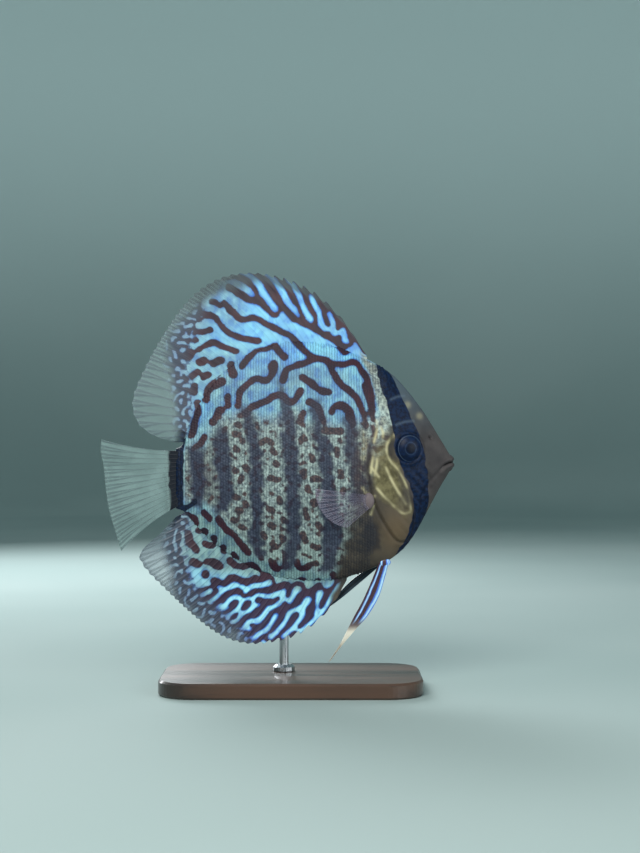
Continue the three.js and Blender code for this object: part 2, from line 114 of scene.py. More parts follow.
belly_edge = through([
    [-38.4, 1], [-30, 1.1], [20, 1.15], [30, 1.9], [42, 2.6], [52, 2], [66.9, 1.2],
])
roundness = through([
    [-38.4, 0.7], [-20, 0.92], [20, 0.95], [34, 0.86], [50, 0.7], [66.9, 0.56],
])


def side_at(x, share, upper):
    """Half of the body's width at a share of the way from its middle to an edge."""
    edge = np.where(upper, back_edge(x), belly_edge(x))
    fall = np.maximum(1 - np.abs(share) ** SECTION_POWER, 0) ** roundness(x)
    return edge + (half_width(x) - edge) * fall


def side_at_height(x, z):
    """Half of the body's width at a point of the side view."""
    middle = middle_height(x)
    upper = z > middle
    reach = np.where(upper, back_height(x), belly_height(x)) - middle
    return side_at(x, np.clip((z - middle) / reach, 0, 1), upper)


# Distances in the side view.
def line_distance(column, row, line):
    """Distance of each point from an open line of points."""
    points = np.array(line, float)
    best = np.full(np.shape(column), 1e9)
    for a, b in zip(points[:-1], points[1:]):
        span = b - a
        long = max(float(span @ span), 1e-9)
        t = np.clip(((column - a[0]) * span[0] + (row - a[1]) * span[1]) / long, 0, 1)
        best = np.minimum(best, np.hypot(column - a[0] - t * span[0], row - a[1] - t * span[1]))
    return best


def inside(column, row, outline):
    """True where a point lies inside a closed outline."""
    within = np.zeros(np.shape(column), bool)
    points = np.array(outline, float)
    for (ax, ay), (bx, by) in zip(points, np.roll(points, -1, axis=0)):
        if ay == by:
            continue
        cross = (bx - ax) * (row - ay) / (by - ay) + ax
        within ^= ((ay > row) != (by > row)) & (column < cross)
    return within


def edge_distance(column, row, outline):
    """Distance from a closed outline, below 0 inside it."""
    far = line_distance(column, row, list(outline) + [outline[0]])
    return np.where(inside(column, row, outline), -far, far)


FINE_STEPS = 400  # how finely a smooth line is followed before it is spaced evenly


def smooth_line(points, count):
    """Evenly spaced points on a smooth line through the given ones."""
    points = np.array(points, float)
    knots = np.concatenate([[0], np.cumsum(np.hypot(*np.diff(points[:, :2], axis=0).T) + 1e-6)])
    fine = np.linspace(0, knots[-1], FINE_STEPS)
    dense = np.array([through(np.c_[knots, points[:, i]])(fine) for i in range(points.shape[1])]).T
    along = np.concatenate([[0], np.cumsum(np.linalg.norm(np.diff(dense, axis=0), axis=1))])
    wanted = np.linspace(0, along[-1], count)
    return np.array([np.interp(wanted, along, dense[:, i]) for i in range(points.shape[1])]).T


# The dark red strokes of the back and its fin, given as lines of photo pixels.
BACK_STROKES = [
    [(225, 300), (236, 310), (246, 318), (257, 317), (268, 323), (280, 329), (292, 336), (300, 346),
     (308, 355), (316, 359)],
    [(228, 286), (240, 293), (251, 299), (262, 302), (270, 308)],
    [(268, 286), (274, 297), (283, 307), (295, 316), (308, 324), (320, 332), (330, 340), (340, 347),
     (345, 352)],
    [(197, 318), (206, 313), (216, 314), (223, 321), (231, 329), (240, 335), (249, 338), (257, 340)],
    [(193, 331), (202, 331), (212, 328)],
    [(200, 350), (208, 344), (217, 341), (225, 346), (236, 350)],
    [(242, 366), (249, 358), (257, 350), (268, 347), (274, 345), (279, 352), (285, 358)],
    [(182, 381), (191, 378), (197, 373)],
    [(183, 392), (184, 397)],
    [(197, 407), (198, 413), (195, 422), (193, 431), (192, 435)],
    [(182, 406), (183, 424)],
    [(229, 397), (229, 404)],
    [(239, 406), (239, 395), (246, 386), (257, 379), (265, 381), (272, 376), (275, 367), (274, 364)],
    [(283, 380), (288, 370), (297, 366), (308, 362), (317, 359), (327, 362), (335, 365), (344, 364),
     (355, 363), (362, 371), (368, 383), (370, 398), (370, 411), (372, 422), (375, 434)],
    [(330, 365), (335, 376), (340, 384), (349, 391), (357, 400), (363, 412), (366, 427)],
    [(303, 378), (312, 384), (320, 390), (329, 393)],
    [(241, 416), (247, 412), (254, 407), (261, 404), (268, 401), (273, 397.5), (282, 396), (287, 400),
     (292, 402), (297.5, 398), (301, 392)],
    [(190, 340), (198, 339)],
    [(309, 402), (317, 407), (321, 416), (324, 425)],
    [(332, 412), (335, 407), (344, 406), (350, 413), (352, 425)],
    [(299, 421), (303, 413)],
    [(324, 431), (341, 431)],
    [(195, 449), (200, 444.5), (205, 438)],
]
# Short strokes as wide as they are long, and the wide parts of longer ones.
FAT_STROKES = [
    [(190, 357), (193, 354)], [(200, 363), (204, 361)], [(213, 364), (221, 361)],
    [(231, 367), (234, 374)], [(202, 379), (206, 377)], [(206, 399), (207, 393), (213, 387), (222, 382)],
    [(192, 390), (192, 394)], [(214, 421.5), (217, 417), (221, 411)], [(196.5, 407), (197.5, 413)],
    [(273, 367), (272.5, 373)], [(366, 386), (369, 400), (370.5, 414)],
    [(340, 407), (347.5, 411), (350, 418)], [(243, 415), (249, 412)], [(222, 549), (221, 552)],
    [(209, 564), (213, 566)], [(274.5, 564), (275, 567)], [(189, 516), (194, 520)],
]
# The dark red strokes of the belly and its fin.
BELLY_STROKES = [
    [(224, 562), (230, 567), (237, 568.5), (246, 566), (252.5, 565), (257, 569), (260, 574), (268, 575)],
    [(221, 584), (226, 578), (232, 580), (240, 583), (251, 579), (260, 578), (269, 577)],
    [(248, 595), (255.5, 591.4), (267, 591.4), (274.5, 587.6), (282, 584), (291, 581)],
    [(318, 581), (312, 586), (306, 588.6), (301, 593), (298, 599), (292.6, 605), (286, 611.5),
     (282, 618), (278, 624)],
    [(327, 587.6), (325, 594), (321, 598), (315.5, 603), (312.6, 609.5), (309, 616), (303, 622)],
    [(298, 612.4), (293.6, 618), (290, 624)],
    [(256.4, 602), (266, 601.5), (274.5, 602)],
    [(265, 605), (259, 610.5), (255.5, 615)],
    [(289, 602), (282, 608), (272.6, 613), (268, 621), (263, 627.6), (254.5, 633), (250, 637)],
    [(246, 605), (244, 610.5)],
    [(250, 617), (242, 621), (239, 627), (236, 632)],
    [(212.6, 591), (206, 596), (197, 597), (187, 597)],
    [(243, 598), (237, 595), (230.7, 593), (224, 594), (218, 598), (210.7, 604), (201, 606)],
    [(230, 605), (230.5, 608)],
    [(210.7, 579), (216.4, 583)],
    [(204, 562), (211.7, 565.7), (216, 567.6)],
    [(203, 571), (204, 573)],
    [(203, 546), (209, 547), (213, 545), (214, 538)],
    [(223, 547), (220, 552)],
    [(233.6, 554), (236.4, 558)],
    [(244, 548.6), (249, 552)],
    [(258.5, 550), (261.5, 557)],
    [(271.7, 559), (274.5, 565.7), (277, 567.6)],
    [(286, 554), (286, 565)],
    [(297, 561), (300, 567.6), (308, 565.7), (317, 563)],
    [(333.6, 574.5), (333.8, 575.5)],
    [(205, 513), (210, 518)],
    [(219, 519), (227, 528), (235, 535), (241, 543), (247, 547)],
    [(187, 515), (194, 517), (196, 524)],
    [(197, 533), (205, 532)],
    [(187, 537), (191, 545), (196, 551)],
    [(192, 560), (197, 563)],
]
# The front fringes of both fins are striped along their rays, dark lines and pale ones by turns.
CREST_STROKES = [
    [(247, 272), (256, 276), (262, 280), (268, 286)],
    [(266, 274), (274, 278), (281, 285), (287, 291), (292, 298), (298.6, 305)],
    [(289.5, 281), (297, 284), (302, 292), (307, 298.6), (311, 306), (316, 313), (320, 321)],
    [(306, 290.5), (313, 293), (318.6, 299.5), (323, 307), (327, 314), (330.5, 321), (333, 327)],
    [(326, 305), (332, 310.5), (337, 317), (340.5, 323), (343, 329), (345, 334)],
    [(340.5, 318.6), (345, 325), (348, 331), (349.5, 338), (351, 345)],
    [(350.5, 327), (353, 334), (357, 341), (361, 350), (365, 356)],
    [(222, 278), (232, 276.5), (243, 278.5), (249, 283)],
    [(212, 300), (218, 301), (223, 304)],
]
PALE_STROKES = [
    [(232, 282), (241, 286), (249.5, 291)],
    [(253, 282), (258.6, 288), (263, 295), (268.6, 302), (276, 310)],
    [(271, 283), (278, 290.5), (283, 297), (289.5, 304), (297, 309.5)],
    [(292, 291), (297, 297), (301, 304), (308, 312), (315, 320)],
    [(310.5, 299.5), (315, 306), (321, 315), (326, 326), (329.5, 332)],
    [(331, 316), (335, 324), (337, 330.5), (339.5, 338)],
    [(345, 333), (347, 339), (349, 346)],
    [(337, 583), (331.7, 590.5), (328, 599), (323, 607.6), (316.4, 614), (308, 622), (301, 629.5)],
    [(320, 588), (319, 594), (318, 604), (316.4, 608.6)],
    [(310.7, 594), (306, 601), (304, 608.6), (302, 615), (296.4, 623), (289, 631), (285, 636)],
    [(302, 603), (291.7, 609.5), (289, 618), (284, 625), (278, 631), (270.7, 638)],
    [(301, 583), (297, 591), (292.6, 599)],
    [(288, 591), (285, 599), (277, 606), (270, 612), (264, 619), (256, 624), (250, 623), (243, 629.5),
     (239, 636)],
    [(279, 614), (274.5, 621), (270, 628.6), (260, 635), (252.6, 641)],
    [(271.7, 581), (261, 586.7), (249, 588.6), (241, 595)],
    [(231.7, 585.7), (225, 588.6), (218, 593), (210.7, 600), (201, 603)],
    [(283, 591.5), (274.5, 596), (265, 596), (255, 597), (252.6, 605), (249.8, 611), (242, 615),
     (235.5, 622), (231.7, 628)],
    [(247, 600), (240, 601), (237, 608.6), (230, 615), (222, 618)],
    [(226, 602), (231, 598.5), (237, 598)],
    [(191, 593.5), (201, 593), (209, 590)],
    [(224, 623), (231, 622)],
]
# Brown spots between the bars of the flank.
FLANK_SPOTS = [
    [(262, 443), (267, 440), (272, 443)], [(266, 420), (267, 422)], [(236, 434), (240, 435)],
    [(243, 440), (244, 441)], [(237, 449), (238, 450)], [(246, 466), (247, 468)],
    [(242, 477), (242, 479)], [(236, 470), (237, 471)], [(236, 496), (238, 497)],
    [(239, 509), (242, 510)], [(242, 526), (244, 527)], [(274, 450), (275, 452)],
    [(277, 463), (278, 464)], [(272, 477), (275, 479)], [(270, 508), (272, 509)],
    [(280, 498), (281, 501)], [(284, 518), (285, 520)], [(271, 524), (274, 526)],
    [(283, 536), (284, 538)], [(273, 543), (276, 546)], [(301, 440), (305, 438)],
    [(312, 456), (313, 459)], [(304, 470), (304, 476)], [(313, 478), (318, 478)],
    [(308, 487), (309, 489)], [(313, 500), (315, 503)], [(306, 509), (307, 516)],
    [(318, 523), (319, 525)], [(303, 533), (306, 540)], [(313, 545), (319, 546)],
    [(324, 431), (341, 431)], [(336, 450), (337, 454)], [(340, 471), (341, 475)],
    [(343, 489), (343, 491)], [(302, 418), (303, 424)], [(238, 424), (240, 426)],
    [(264, 533), (266, 536)], [(246, 503), (247, 505)], [(234, 519), (236, 520)],
]
# Each dark bar of the flank as (row, middle, half width).
BARS = [
    [(447, 196.5, 6.0), (470, 198, 8.0), (490, 199.5, 7.5), (507, 200.5, 5.0)],
    [(428, 222, 5.0), (445, 222, 8.0), (460, 225, 7.0), (480, 226.5, 6.0), (497, 225.5, 6.0),
     (513, 223, 7.0)],
    [(408, 245, 4.0), (420, 248, 5.5), (430, 252, 5.5), (445, 254.5, 6.5), (460, 257.5, 6.0),
     (480, 257.5, 6.5), (500, 258, 6.5), (520, 256.5, 6.0), (540, 256.5, 6.0), (558, 261, 4.5)],
    [(384, 280, 2.5), (397, 283, 4.5), (410, 287, 5.5), (422, 288.5, 7.5), (435, 287, 6.0),
     (450, 291, 7.0), (465, 292.5, 5.5), (480, 293, 7.0), (500, 293.5, 6.0), (520, 294, 6.5),
     (540, 294, 6.5), (555, 291, 6.5), (569, 288, 5.0)],
    [(401, 316, 5.0), (418, 318, 6.5), (430, 317, 6.0), (445, 324, 7.5), (460, 325, 6.5),
     (475, 327, 6.5), (490, 328, 6.5), (505, 328.5, 8.0), (520, 331, 9.0), (540, 332, 9.0),
     (555, 330, 9.0), (570, 326, 6.0)],
    [(420, 349, 5.5), (450, 353, 6.2), (470, 355, 6.4), (490, 357, 6.4), (506, 357.5, 4.5)],
    [(436, 372, 2.4), (450, 369, 2.0), (468, 366, 1.6), (482, 368, 2.4), (494, 366, 2.0)],
    [(520, 369, 4.0), (534, 370, 8.5), (550, 372, 6.0)],
]
# Where the brown and cream middle of the flank begins and ends, as (column, row).
MIDDLE_TOP = [
    (181, 446), (205, 449), (214, 432), (228, 420), (240, 412), (252, 414), (262, 422), (280, 423),
    (300, 420), (320, 423), (345, 430), (362, 418),
]
MIDDLE_FOOT = [
    (181, 498), (205, 504), (216, 512), (234, 530), (250, 547), (262, 556), (300, 563), (340, 572),
    (372, 572),
]
# The pale line of the nape, behind the eye band.
NAPE_LINE = [(366, 356), (374, 372), (380, 392), (384, 412), (384, 428)]
# The black eye band as (column, row, half width), and the black bar of the tail stem with its foot.
BAND_LINE = [
    (380, 366, 4.5), (384, 376, 6.5), (389, 388, 7.6), (395, 404, 8.6), (400, 420, 9.6), (405, 434, 12),
    (408, 448, 14.5), (412, 462, 12.6), (416, 474, 10.6), (419.5, 490, 8.6), (420, 506, 7.2),
    (416.5, 520, 6.2), (412, 531, 4), (405, 544, 2.6), (395, 557, 2),
]
STEM_LINE = [(181, 438), (178, 452), (178, 480), (179, 500), (175, 517), (171, 523)]
STEM_FOOT = [(196, 501), (184, 510), (174, 521)]
STEM_HALF, FOOT_HALF = 5.5, 2.5
# Where the coat gives way to the face, the gold patch of the gill cover, and its pale gleams.
FACE_EDGE = [
    (374, 362), (384, 390), (390, 410), (391, 428), (383, 446), (376, 466), (369, 486), (361, 505),
    (352, 524), (344, 545), (338, 562), (330, 585),
]
GOLD_LOBE = [
    (393, 437), (385, 447), (387, 457), (397, 468), (405, 485), (409, 500), (410, 511), (403, 513),
    (393, 506), (382, 494), (374, 486), (370, 470), (374, 452), (384, 440),
]
GLEAMS = [
    [(394, 434), (386, 444), (386, 453), (390, 461), (398, 471), (405, 485), (409, 500), (410, 509)],
    [(409, 511), (402, 512), (393, 505), (382, 494), (376, 487)],
    [(385, 467), (390, 478), (398, 492), (405, 503)], [(377, 452), (376, 462), (374, 474)],
    [(366, 440), (365, 450), (363, 459)], [(373, 453), (371, 464), (370, 472)],
    [(374, 495), (369, 499), (362, 503)], [(373, 503), (370, 513)], [(370, 466), (374, 471), (378, 476)],
    [(362, 487), (365, 491), (369, 494)], [(380, 427), (382, 432), (382, 437)],
    [(362, 431), (363, 444), (361, 457)], [(376, 420), (376, 430), (373, 442)],
]
# Two pale flecks on the forehead, and two thin pale lines across the eye band.
FLECKS = [(407, 405), (419, 416)]
THIN_LINES = [[(390, 400), (397, 397), (404, 396)], [(395, 425), (404, 422), (413, 421)]]
# The row where the belly fin's colours begin, at each of five columns.
FRINGE_COLUMNS, FRINGE_ROWS = [180, 230, 262, 300, 345], [566, 572, 577, 584, 582]
EYE_ROW = 440

# The field's grid, one cell for each photo pixel.
FIELD_LEFT, FIELD_RIGHT = 92, 462
FIELD_TOP, FIELD_BOTTOM = 262, 670
field_columns = np.arange(FIELD_LEFT, FIELD_RIGHT + 1.0)
field_rows = np.arange(FIELD_TOP, FIELD_BOTTOM + 1.0)
columns, rows = np.meshgrid(field_columns, field_rows)


def blurred(field, radius):
    """The field smoothed by a Gaussian of that radius, in cells."""
    high, wide = field.shape
    fy = np.fft.fftfreq(high)[:, None]
    fx = np.fft.rfftfreq(wide)[None, :]
    keep = np.exp(-2 * (math.pi * radius) ** 2 * (fx * fx + fy * fy))
    return np.fft.irfft2(np.fft.rfft2(field) * keep, s=field.shape)


def soft_noise(seed, radius, size=1.0):
    """Smooth noise of about that size, with patches of that radius in cells."""
    made = blurred(np.random.default_rng(seed).standard_normal(columns.shape), radius)
    return size * (made / made.std())


def sample(field, column, row):
    """The field's value at points between its cells."""
    x = np.clip(column - FIELD_LEFT, 0, field.shape[1] - 1.001)
    y = np.clip(row - FIELD_TOP, 0, field.shape[0] - 1.001)
    i, j = x.astype(int), y.astype(int)
    u, v = x - i, y - j
    low = field[j, i] * (1 - u) + field[j, i + 1] * u
    high = field[j + 1, i] * (1 - u) + field[j + 1, i + 1] * u
    return low * (1 - v) + high * v


# How a pattern grows: its first noise, its surround against its centre, its gain and its last softening.
FIRST_SIZE, FIRST_FINENESS = 0.25, 0.8
SURROUND, GAIN, SOFTENING = 2.1, 4.6, 0.85


def grown_pattern(guide, balance, fine, seed, rounds=36):
    """Stripes and spots that settle at one spacing, held to the guide where it is strong."""
    state = soft_noise(seed, fine * FIRST_FINENESS, FIRST_SIZE) + guide
    for _ in range(rounds):
        contrast = blurred(state, fine) - blurred(state, fine * SURROUND)
        state = np.tanh(GAIN * contrast + guide + balance)
    return 0.5 + 0.5 * blurred(state, SOFTENING)


# Outline inside which each median fin is covered in colour. Beyond it the membrane is clear.
BACK_FIN_COLOUR = [
    (400, 262), (262, 262), (243, 270), (229, 279), (215, 290), (204, 299), (193, 309), (184, 321),
    (178, 334), (173, 346), (170, 358), (169, 370), (169, 385), (171, 400), (174, 420), (177, 445),
    (200, 470), (460, 470), (460, 262),
]
BELLY_FIN_COLOUR = [
    (177, 505), (171, 522), (167, 542), (168, 561), (173, 579), (182, 598), (197, 614), (212, 626),
    (234, 638), (262, 660), (460, 660), (460, 470), (200, 470),
]


def nearest(strokes, count=None):
    """Distance of each cell from the nearest stroke. Each stroke is a smooth line of that many points."""
    lines = [smooth_line(stroke, count or 4 * len(stroke)) for stroke in strokes]
    return np.min([line_distance(columns, rows, line) for line in lines], axis=0)


def oval(column, row, wide, high):
    """A soft oval patch, 1 at its middle."""
    return bell(columns - column, wide) * bell(rows - row, high)


# How the listed lines hold the stripes. Widths and distances are in pixels.
STROKE_HALF, BODY_EXTRA, FAT_HALF, CREST_LESS = 0.35, 0.5, 1.9, 0.3
WANDER_LENGTH, STROKE_WANDER, PALE_WANDER = 2.4, 0.45, 0.3
STROKE_HOLD, STROKE_FALL = 1.3, 2.1
GROUND_HOLD, GROUND_FROM, GROUND_TO = 1.8, 2.0, 4.4
LINED_FROM, LINED_TO = 5.0, 8.5
LINED_DARK, LINED_PALE, LINED_FALL = 0.35, 2.5, 2.15


def stripe_guide(in_body):
    """Above 0 where a dark stroke holds the stripes, and below 0 between the strokes and on pale lines."""
    dark = nearest(BACK_STROKES + BELLY_STROKES) - STROKE_HALF - BODY_EXTRA * in_body
    dark = np.minimum(dark, nearest(FAT_STROKES) - FAT_HALF)
    near = np.minimum(dark, nearest(CREST_STROKES) + CREST_LESS)
    near = np.maximum(near - soft_noise(13, WANDER_LENGTH, STROKE_WANDER), 0)
    pale_line = nearest(PALE_STROKES) + soft_noise(14, WANDER_LENGTH, PALE_WANDER)
    lined = 1 - ramp(LINED_FROM, LINED_TO, pale_line)
    ground = GROUND_HOLD * ramp(GROUND_FROM, GROUND_TO, near) * (1 - lined)
    pale = lined * (LINED_DARK - LINED_PALE * bell(pale_line, LINED_FALL))
    return STROKE_HOLD * bell(near, STROKE_FALL) - ground + pale


# Balance (above 0 gives more dark than pale), fineness in cells and seed of each grown pattern.
STRIPES, DOTS, SPOTS = (-0.1, 1.62, 3), (0.75, 0.85, 5), (-0.2, 1.0, 11)
SPOT_ROUNDS = 2
SPOT_HALF, SPOT_FALL, SPOT_HOLD = 1.2, 1.7, 1.5
SPOT_GROUND, SPOT_GROUND_FROM, SPOT_GROUND_TO = 0.35, 1.5, 3.0
STRIPE_SHARE, STRIPE_LEAST = 0.7, -0.2  # how far the strokes hold the spots as well
# The rear edges' dots fade out this far in from the colour's edge, in pixels, and ahead of a line
# that slants forward low down.
DOTS_FROM, DOTS_TO, DOTS_END = 4, 30, 18
REAR_COLUMN, REAR_ROW, REAR_SLOPE = 196, 592, 0.95


def pattern_fields(in_body, colour_edge):
    """Stripes in the fins and upper flank, brown spots on the middle, pale dots at the rear edges."""
    guide = stripe_guide(in_body)
    rear_limit = REAR_COLUMN + REAR_SLOPE * np.maximum(rows - REAR_ROW, 0)
    rear = (1 - ramp(DOTS_FROM, DOTS_TO, -colour_edge)) * (1 - ramp(0, DOTS_END, columns - rear_limit))
    rear = rear * (1 - in_body)
    wide = grown_pattern(guide, *STRIPES)
    dots = grown_pattern(soft_noise(17, 1.6, 0.4), *DOTS)
    spot = nearest(FLANK_SPOTS) - SPOT_HALF
    blotchy = soft_noise(12, 1.7, 0.3) + SPOT_HOLD * bell(spot, SPOT_FALL)
    blotchy = blotchy - SPOT_GROUND * ramp(SPOT_GROUND_FROM, SPOT_GROUND_TO, spot)
    held = np.maximum(guide, STRIPE_LEAST) * STRIPE_SHARE
    spots = grown_pattern(held + blotchy, *SPOTS, rounds=SPOT_ROUNDS)
    top = np.interp(columns, *zip(*MIDDLE_TOP)) + soft_noise(21, 6, 3)
    foot = np.interp(columns, *zip(*MIDDLE_FOOT)) + soft_noise(22, 6, 2)
    middle = ramp(-16, 12, rows - top) * ramp(-6, 6, foot - rows) * ramp(181, 188, columns)
    nape = 1 - ramp(3.5, 8.0, nearest([NAPE_LINE], 20))
    cheek_side = ramp(330, 346, columns) * ramp(424, 440, rows)
    middle = np.maximum(np.maximum(middle, nape), cheek_side * 0.9) * in_body
    mark = wide * (1 - rear) * (1 - middle) + dots * rear * (1 - middle)
    mark = mark + spots * middle * (1 - 0.5 * nape)
    by_cover = ramp(344, 362, columns) * ramp(418, 446, rows) + 0.55 * nape
    return {
        "mark": mark,
        "glow": 1 - blurred(mark, 1.5),
        "middle": middle,
        "rear": rear,
        "tawny": np.clip(by_cover * (0.85 + soft_noise(98, 2.2, 0.3)), 0, 1),
    }


BAR_EXTRA = 0.8  # added to each bar's half width, in pixels


def dark_bars():
    """Dark bars across the body, each a little bent, with ragged edges."""
    bars = np.zeros_like(columns)
    ragged = soft_noise(31, 3.2, 1.2) + soft_noise(32, 1.4, 1.0)
    for bar in BARS:
        at_row, middle_column, half = np.array(bar, float).T
        across = np.abs(columns - np.interp(rows, at_row, middle_column) + ragged)
        along = ramp(-8, 6, rows - at_row[0] + ragged) * ramp(-5, 3, at_row[-1] - rows + ragged)
        past_edge = across - BAR_EXTRA - np.interp(rows, at_row, half)
        bars = np.maximum(bars, (1 - ramp(-2.8, 3.2, past_edge)) * along)
    return bars


def black_fields():
    """The black eye band and the black bar on the tail stem, which runs on to both fins."""
    band = np.full(columns.shape, -np.inf)
    for column, row, half in smooth_line(BAND_LINE, 60):
        band = np.maximum(band, half - np.hypot(columns - column, rows - row))
    stem = line_distance(columns, rows, STEM_LINE) - STEM_HALF
    stem = np.minimum(stem, line_distance(columns, rows, STEM_FOOT) - FOOT_HALF)
    return {
        "band": ramp(-1.4, 1.4, band + soft_noise(41, 2.5, 0.5)),
        "stem": 1 - ramp(-1.6, 1.8, stem + soft_noise(42, 2.0, 0.6)),
    }


FACE_BLEND, CHEEK_BLEND = 5, 13  # how softly the coat gives way to the face, in pixels


def face_fields():
    """The face and throat, the gold of the gill cover, the grey of the snout, and thin pale lines."""
    face_edge = smooth_line(FACE_EDGE, 40)
    face_column = np.interp(rows, face_edge[:, 1], face_edge[:, 0])
    blend = FACE_BLEND + CHEEK_BLEND * ramp(420, 444, rows) * (1 - ramp(520, 540, rows))
    face = (columns - face_column + soft_noise(51, 4, 2.0) + blend) / (blend + 7)
    above_eye = np.maximum(EYE_ROW - rows, 0)
    below_eye = np.maximum(rows - EYE_ROW, 0)
    snout = ramp(404, 424, columns + 0.6 * above_eye + 0.25 * below_eye) * (1 - ramp(490, 520, rows))
    flecks = np.min([np.hypot(columns - column, rows - row) for column, row in FLECKS], axis=0) - 1.0
    broken = np.clip(0.62 + soft_noise(95, 2.5, 0.3), 0.15, 1)
    return {
        "face": ramp(0, 1, face),
        "gold": 1 - ramp(-3, 5, edge_distance(columns, rows, GOLD_LOBE) + soft_noise(52, 3, 1.2)),
        "tan": oval(396, 530, 17, 22),
        "snout": snout,
        "gleam": bell(nearest(GLEAMS, 24), 1.15) * broken + 0.26 * bell(flecks, 2.4),
        "pale_lines": 0.5 * bell(nearest(THIN_LINES, 12), 0.9),
    }


def coat_fields():
    """Every marking of the coat as a smooth field over the side view."""
    x, z = to_mm(columns, rows)
    depth = np.minimum(back_height(x) - z, z - belly_height(x))
    in_body = ramp(-1.0, 1.5, depth) * ramp(TAIL_X - 1, TAIL_X, x)
    back_fin = edge_distance(columns, rows, BACK_FIN_COLOUR)
    belly_fin = edge_distance(columns, rows, BELLY_FIN_COLOUR)
    colour_edge = np.minimum(back_fin, belly_fin)
    made = {**pattern_fields(in_body, colour_edge), **black_fields(), **face_fields()}
    middle = made["middle"]
    made["bar"] = dark_bars() * in_body
    made["clear"] = ramp(-7, 8, colour_edge + soft_noise(61, 3, 1.0)) * (1 - in_body)

    # How blue, dull, dusky and grey the ground between the marks is.
    blue = 1 - 0.72 * ramp(0, 13, depth) - 0.2 * made["rear"] + soft_noise(91, 7, 0.1)
    made["blue"] = np.clip(blue, 0, 1) * (1 - middle)
    fringe_row = np.interp(columns, FRINGE_COLUMNS, FRINGE_ROWS)
    by_belly = ramp(500, 520, rows) * (1 - ramp(-6, 7, rows - fringe_row + soft_noise(97, 6, 2)))
    dull = 1 - ramp(186, 262, columns + soft_noise(92, 10, 10)) + soft_noise(93, 8, 0.25)
    made["dull"] = np.maximum(np.clip(dull, 0, 1), 0.95 * by_belly)
    made["dusky"] = oval(207, 476, 17, 28)
    made["belly_grey"] = by_belly * (1 - middle)
    return made


fields = coat_fields()
# How far the far side's markings lie from the near side's, in pixels across and down.
side_shift = (soft_noise(81, 22, 5.0), soft_noise(82, 22, 5.0))
HEAD_COLUMNS = 372, 392  # ahead of these both sides are alike


def markings(x, y, z):
    """The coat's markings at points in millimetres. The far side's are a little different."""
    column, row = to_photo(x, z)
    far = ramp(-0.6, 0.6, y)
    shift = far * (1 - ramp(*HEAD_COLUMNS, column))
    at_column = column + shift * sample(side_shift[0], column, row)
    at_row = row + shift * sample(side_shift[1], column, row)
    return {name: sample(field, at_column, at_row) for name, field in fields.items()}


# Meshes.
def make_piece(name, places, faces, values=None):
    """A mesh object from places in millimetres, faces, and named values for each vertex."""
    mesh = bpy.data.meshes.new(name)
    mesh.from_pydata((np.asarray(places, float) * MM).tolist(), [], faces)
    for key, numbers in (values or {}).items():
        layer = mesh.attributes.new(key, "FLOAT", "POINT")
        layer.data.foreach_set("value", np.asarray(numbers, np.float32))
    mesh.polygons.foreach_set("use_smooth", np.ones(len(mesh.polygons), bool))
    mesh.update()
    piece = bpy.data.objects.new(name, mesh)
    bpy.context.scene.collection.objects.link(piece)
    return piece


def grid_faces(high, wide, closed=False, start=0, flip=False):
    """Quads over a grid of that many rows and columns, going round if closed."""
    j, i = np.meshgrid(np.arange(high - 1), np.arange(wide if closed else wide - 1), indexing="ij")
    k = (i + 1) % wide
    corners = [j * wide + i, j * wide + k, (j + 1) * wide + k, (j + 1) * wide + i]
    quads = np.stack(corners, -1).reshape(-1, 4)
    quads = quads[:, ::-1] if flip else quads
    return (quads + start).tolist()


def joined(parts):
    """Several (places, faces, values) as one."""
    places, faces, values, start = [], [], {}, 0
    for part_places, part_faces, part_values in parts:
        places.append(part_places)
        faces += [[v + start for v in face] for face in part_faces]
        for key, numbers in part_values.items():
            values.setdefault(key, []).append(numbers)
        start += len(part_places)
    return np.concatenate(places), faces, {key: np.concatenate(v) for key, v in values.items()}


# The head's features, as on the solids.
EYE_X, EYE_Z, EYE_TURN, EYE_SINK = 50.7, 92.6, 0.24, 2.1
EYE_RADII = (5.6, 3.5, 6.1)
EYE_Y = float(side_at_height(EYE_X, EYE_Z)) - EYE_SINK
NOSTRIL_X, NOSTRIL_Z = 59.2, 96.8
MOUTH_LINE = smooth_line([(72, 87.5), (68.6, 87.4), (66.4, 87.0), (64.6, 86.0), (63.0, 84.5)], 30)
COVER_OUTLINE = smooth_line([
    (42.2, 102.2), (44.4, 98), (43.2, 92), (44.8, 85.6), (48.6, 79), (52, 71.6), (52.9, 64.6), (50.9, 57.8),
    (47, 57.2), (42.6, 62.6), (38.8, 69.6), (36.2, 77.4), (35.4, 86), (36.4, 94.4), (39.2, 100.6),
    (42.2, 102.2),
], 90)[:-1]
INNER_COVER = smooth_line([(42.0, 85.2), (44.0, 81.2), (47.1, 75.8), (49.8, 71.6)], 24)
JAW_LINE = [(63.0, 84.2), (58.6, 79.6), (55.8, 74.2)]
COVER_GROOVE = 0.35  # how far outside the gill cover's outline its groove runs
# Heights and depths of the skin's relief, in millimetres.
COVER_RISE, GROOVE_DEPTH, INNER_DEPTH, JAW_DEPTH, FOLD_HEIGHT = 0.5, 0.42, 0.2, 0.2, 0.1
ORBIT_RISE, SOCKET_DEPTH, NOSTRIL_DEPTH, NOSTRIL_RISE = 0.42, 1.5, 0.75, 0.22
LIP_RISE, MOUTH_DEPTH = 0.45, 0.5
NOSE_LENGTH = 1.5
STEM_SHARE = 0.62  # how wide the tail stem's end is against the body's own curve
# How finely the skin is divided: stations along the trunk, the head and the nose, and points a ring.
TRUNK_STATIONS, HEAD_STATIONS, NOSE_STATIONS, HEAD_FROM = 128, 98, 9, 30
RING_POINTS = 372


